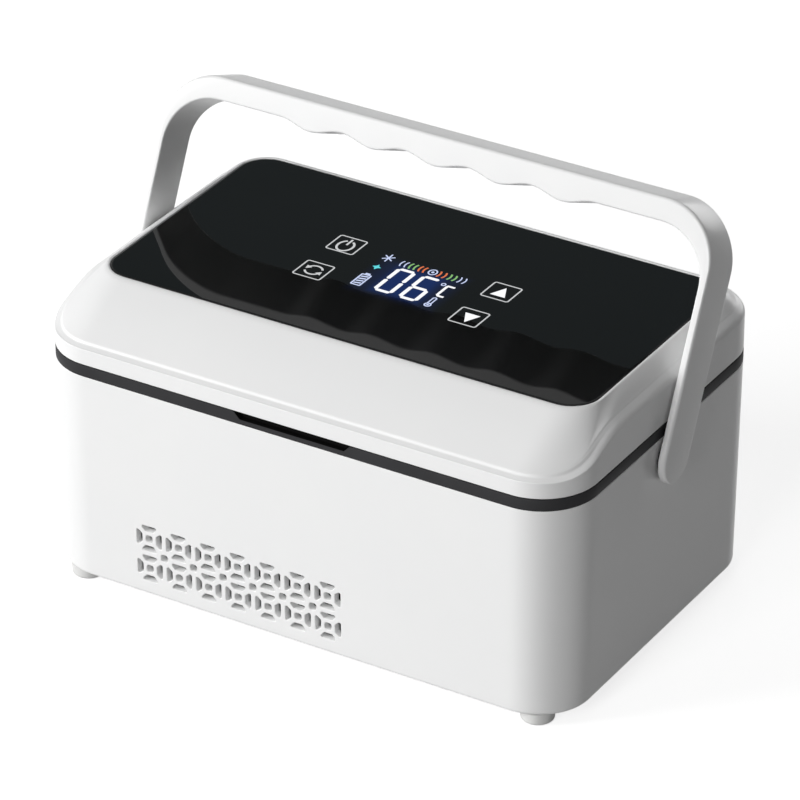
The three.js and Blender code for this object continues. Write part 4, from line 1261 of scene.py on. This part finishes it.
CAMERA_PLACE = (0.85575, -1.4222, 1.0152)
CAMERA_BACK = (0.44833, -0.7438, 0.49574)
CAMERA_LENS = 237.5
LAMP_AIM = (0, 0, 0.08)
LAMP_DISTANCE = 3.0
LAMPS = (
    ("front_lamp", (0.03, -1.0, 0.36), 1.4, 42),
    ("left_lamp", (-0.96, -0.78, 0.5), 1.4, 66),
    ("rear_lamp", (0.0, 1.0, 0.15), 1.4, 20),
    ("rear_top_lamp", (-0.3, 0.8, 1.6), 1.6, 5),
)
CARD_AIM = (0, 0, 0.11)
CARD_TOWARDS = (-0.448, 0.744, 0.496)
CARD_DISTANCE = 3.2
CARD_HALF = 0.8
FLOOR_HALF = 9.0
FLOOR_Z = -0.0002
WHITE = (1, 1, 1, 1)


def make_camera():
    data = bpy.data.cameras.new("camera")
    data.lens = CAMERA_LENS
    data.sensor_width = 36.0
    camera = new_object("camera", data)
    back = Vector(CAMERA_BACK).normalized()
    right = Vector((0, 0, 1)).cross(back).normalized()
    up = back.cross(right)
    turn = Matrix((right, up, back)).transposed().to_4x4()
    camera.matrix_world = Matrix.Translation(CAMERA_PLACE) @ turn
    bpy.context.scene.camera = camera


def make_lamp(name, towards, size, power):
    data = bpy.data.lights.new(name, "AREA")
    data.shape = "SQUARE"
    data.size = size
    data.energy = power
    made = new_object(name, data)
    aim = Vector(towards).normalized()
    made.location = Vector(LAMP_AIM) + aim * LAMP_DISTANCE
    made.rotation_euler = aim.to_track_quat("Z", "Y").to_euler()


def blank_graph(owner):
    """The emptied node tree of a world or a material."""
    owner.use_nodes = True
    owner.node_tree.nodes.clear()
    return Graph(owner.node_tree)


def seen_directly(graph):
    """1 for what the camera, a reflection or a view through glass sees, 0 for light on the object."""
    camera, glossy, through = (
        graph.add("ShaderNodeLightPath", {}, {}, out=f"Is {ray} Ray")
        for ray in ("Camera", "Glossy", "Transmission")
    )
    return camera.larger(glossy).larger(through)


def square(name, half):
    mesh = bpy.data.meshes.new(name)
    corners = [(-half, -half, 0), (half, -half, 0), (half, half, 0), (-half, half, 0)]
    mesh.from_pydata(corners, [], [(0, 1, 2, 3)])
    return new_object(name, mesh)


def make_world():
    world = bpy.data.worlds.new("studio")
    bpy.context.scene.world = world
    graph = blank_graph(world)
    soft = graph.add("ShaderNodeBackground", {}, {"Color": WHITE, "Strength": 0.09})
    plain = graph.add("ShaderNodeBackground", {}, {"Color": WHITE, "Strength": 1.0})
    either = graph.add("ShaderNodeMixShader", {}, {0: seen_directly(graph), 1: soft, 2: plain})
    graph.add("ShaderNodeOutputWorld", {}, {"Surface": either}, out=None)


def make_floor():
    """A floor that looks white but for the object's shadow, and throws little light back."""
    floor = square("floor", FLOOR_HALF)
    floor.location.z = FLOOR_Z
    paint = bpy.data.materials.new("pale_floor")
    graph = blank_graph(paint)
    matt = graph.add("ShaderNodeBsdfDiffuse", {}, {"Color": (0.30, 0.30, 0.30, 1)})
    shadow = graph.add("ShaderNodeBsdfDiffuse", {}, {"Color": (0.55, 0.55, 0.55, 1)})
    white = graph.add("ShaderNodeEmission", {}, {"Strength": 0.78})
    both = graph.add("ShaderNodeAddShader", {}, {0: shadow, 1: white})
    either = graph.add("ShaderNodeMixShader", {}, {0: seen_directly(graph), 1: matt, 2: both})
    graph.add("ShaderNodeOutputMaterial", {}, {"Surface": either}, out=None)
    floor.data.materials.append(paint)


def make_card():
    """A grey card above and behind the object, which the black glass mirrors in place of the white room."""
    card = square("grey_card", CARD_HALF)
    aim = Vector(CARD_TOWARDS).normalized()
    turn = aim.to_track_quat("Z", "Y").to_matrix().to_4x4()
    card.matrix_world = Matrix.Translation(Vector(CARD_AIM) + aim * CARD_DISTANCE) @ turn
    paint = bpy.data.materials.new("grey_card")
    graph = blank_graph(paint)
    grey = graph.add("ShaderNodeEmission", {}, {"Color": (0.86, 1.0, 1.03, 1), "Strength": 0.27})
    graph.add("ShaderNodeOutputMaterial", {}, {"Surface": grey}, out=None)
    card.data.materials.append(paint)


make_camera()
make_case()
make_feet()
make_band()
make_lid()
make_glass()
make_key_signs()
make_display_signs()
make_handle()
make_inner_pieces()
make_world()
make_floor()
for values in LAMPS:
    make_lamp(*values)
make_card()
bpy.context.scene.view_settings.view_transform = "Standard"
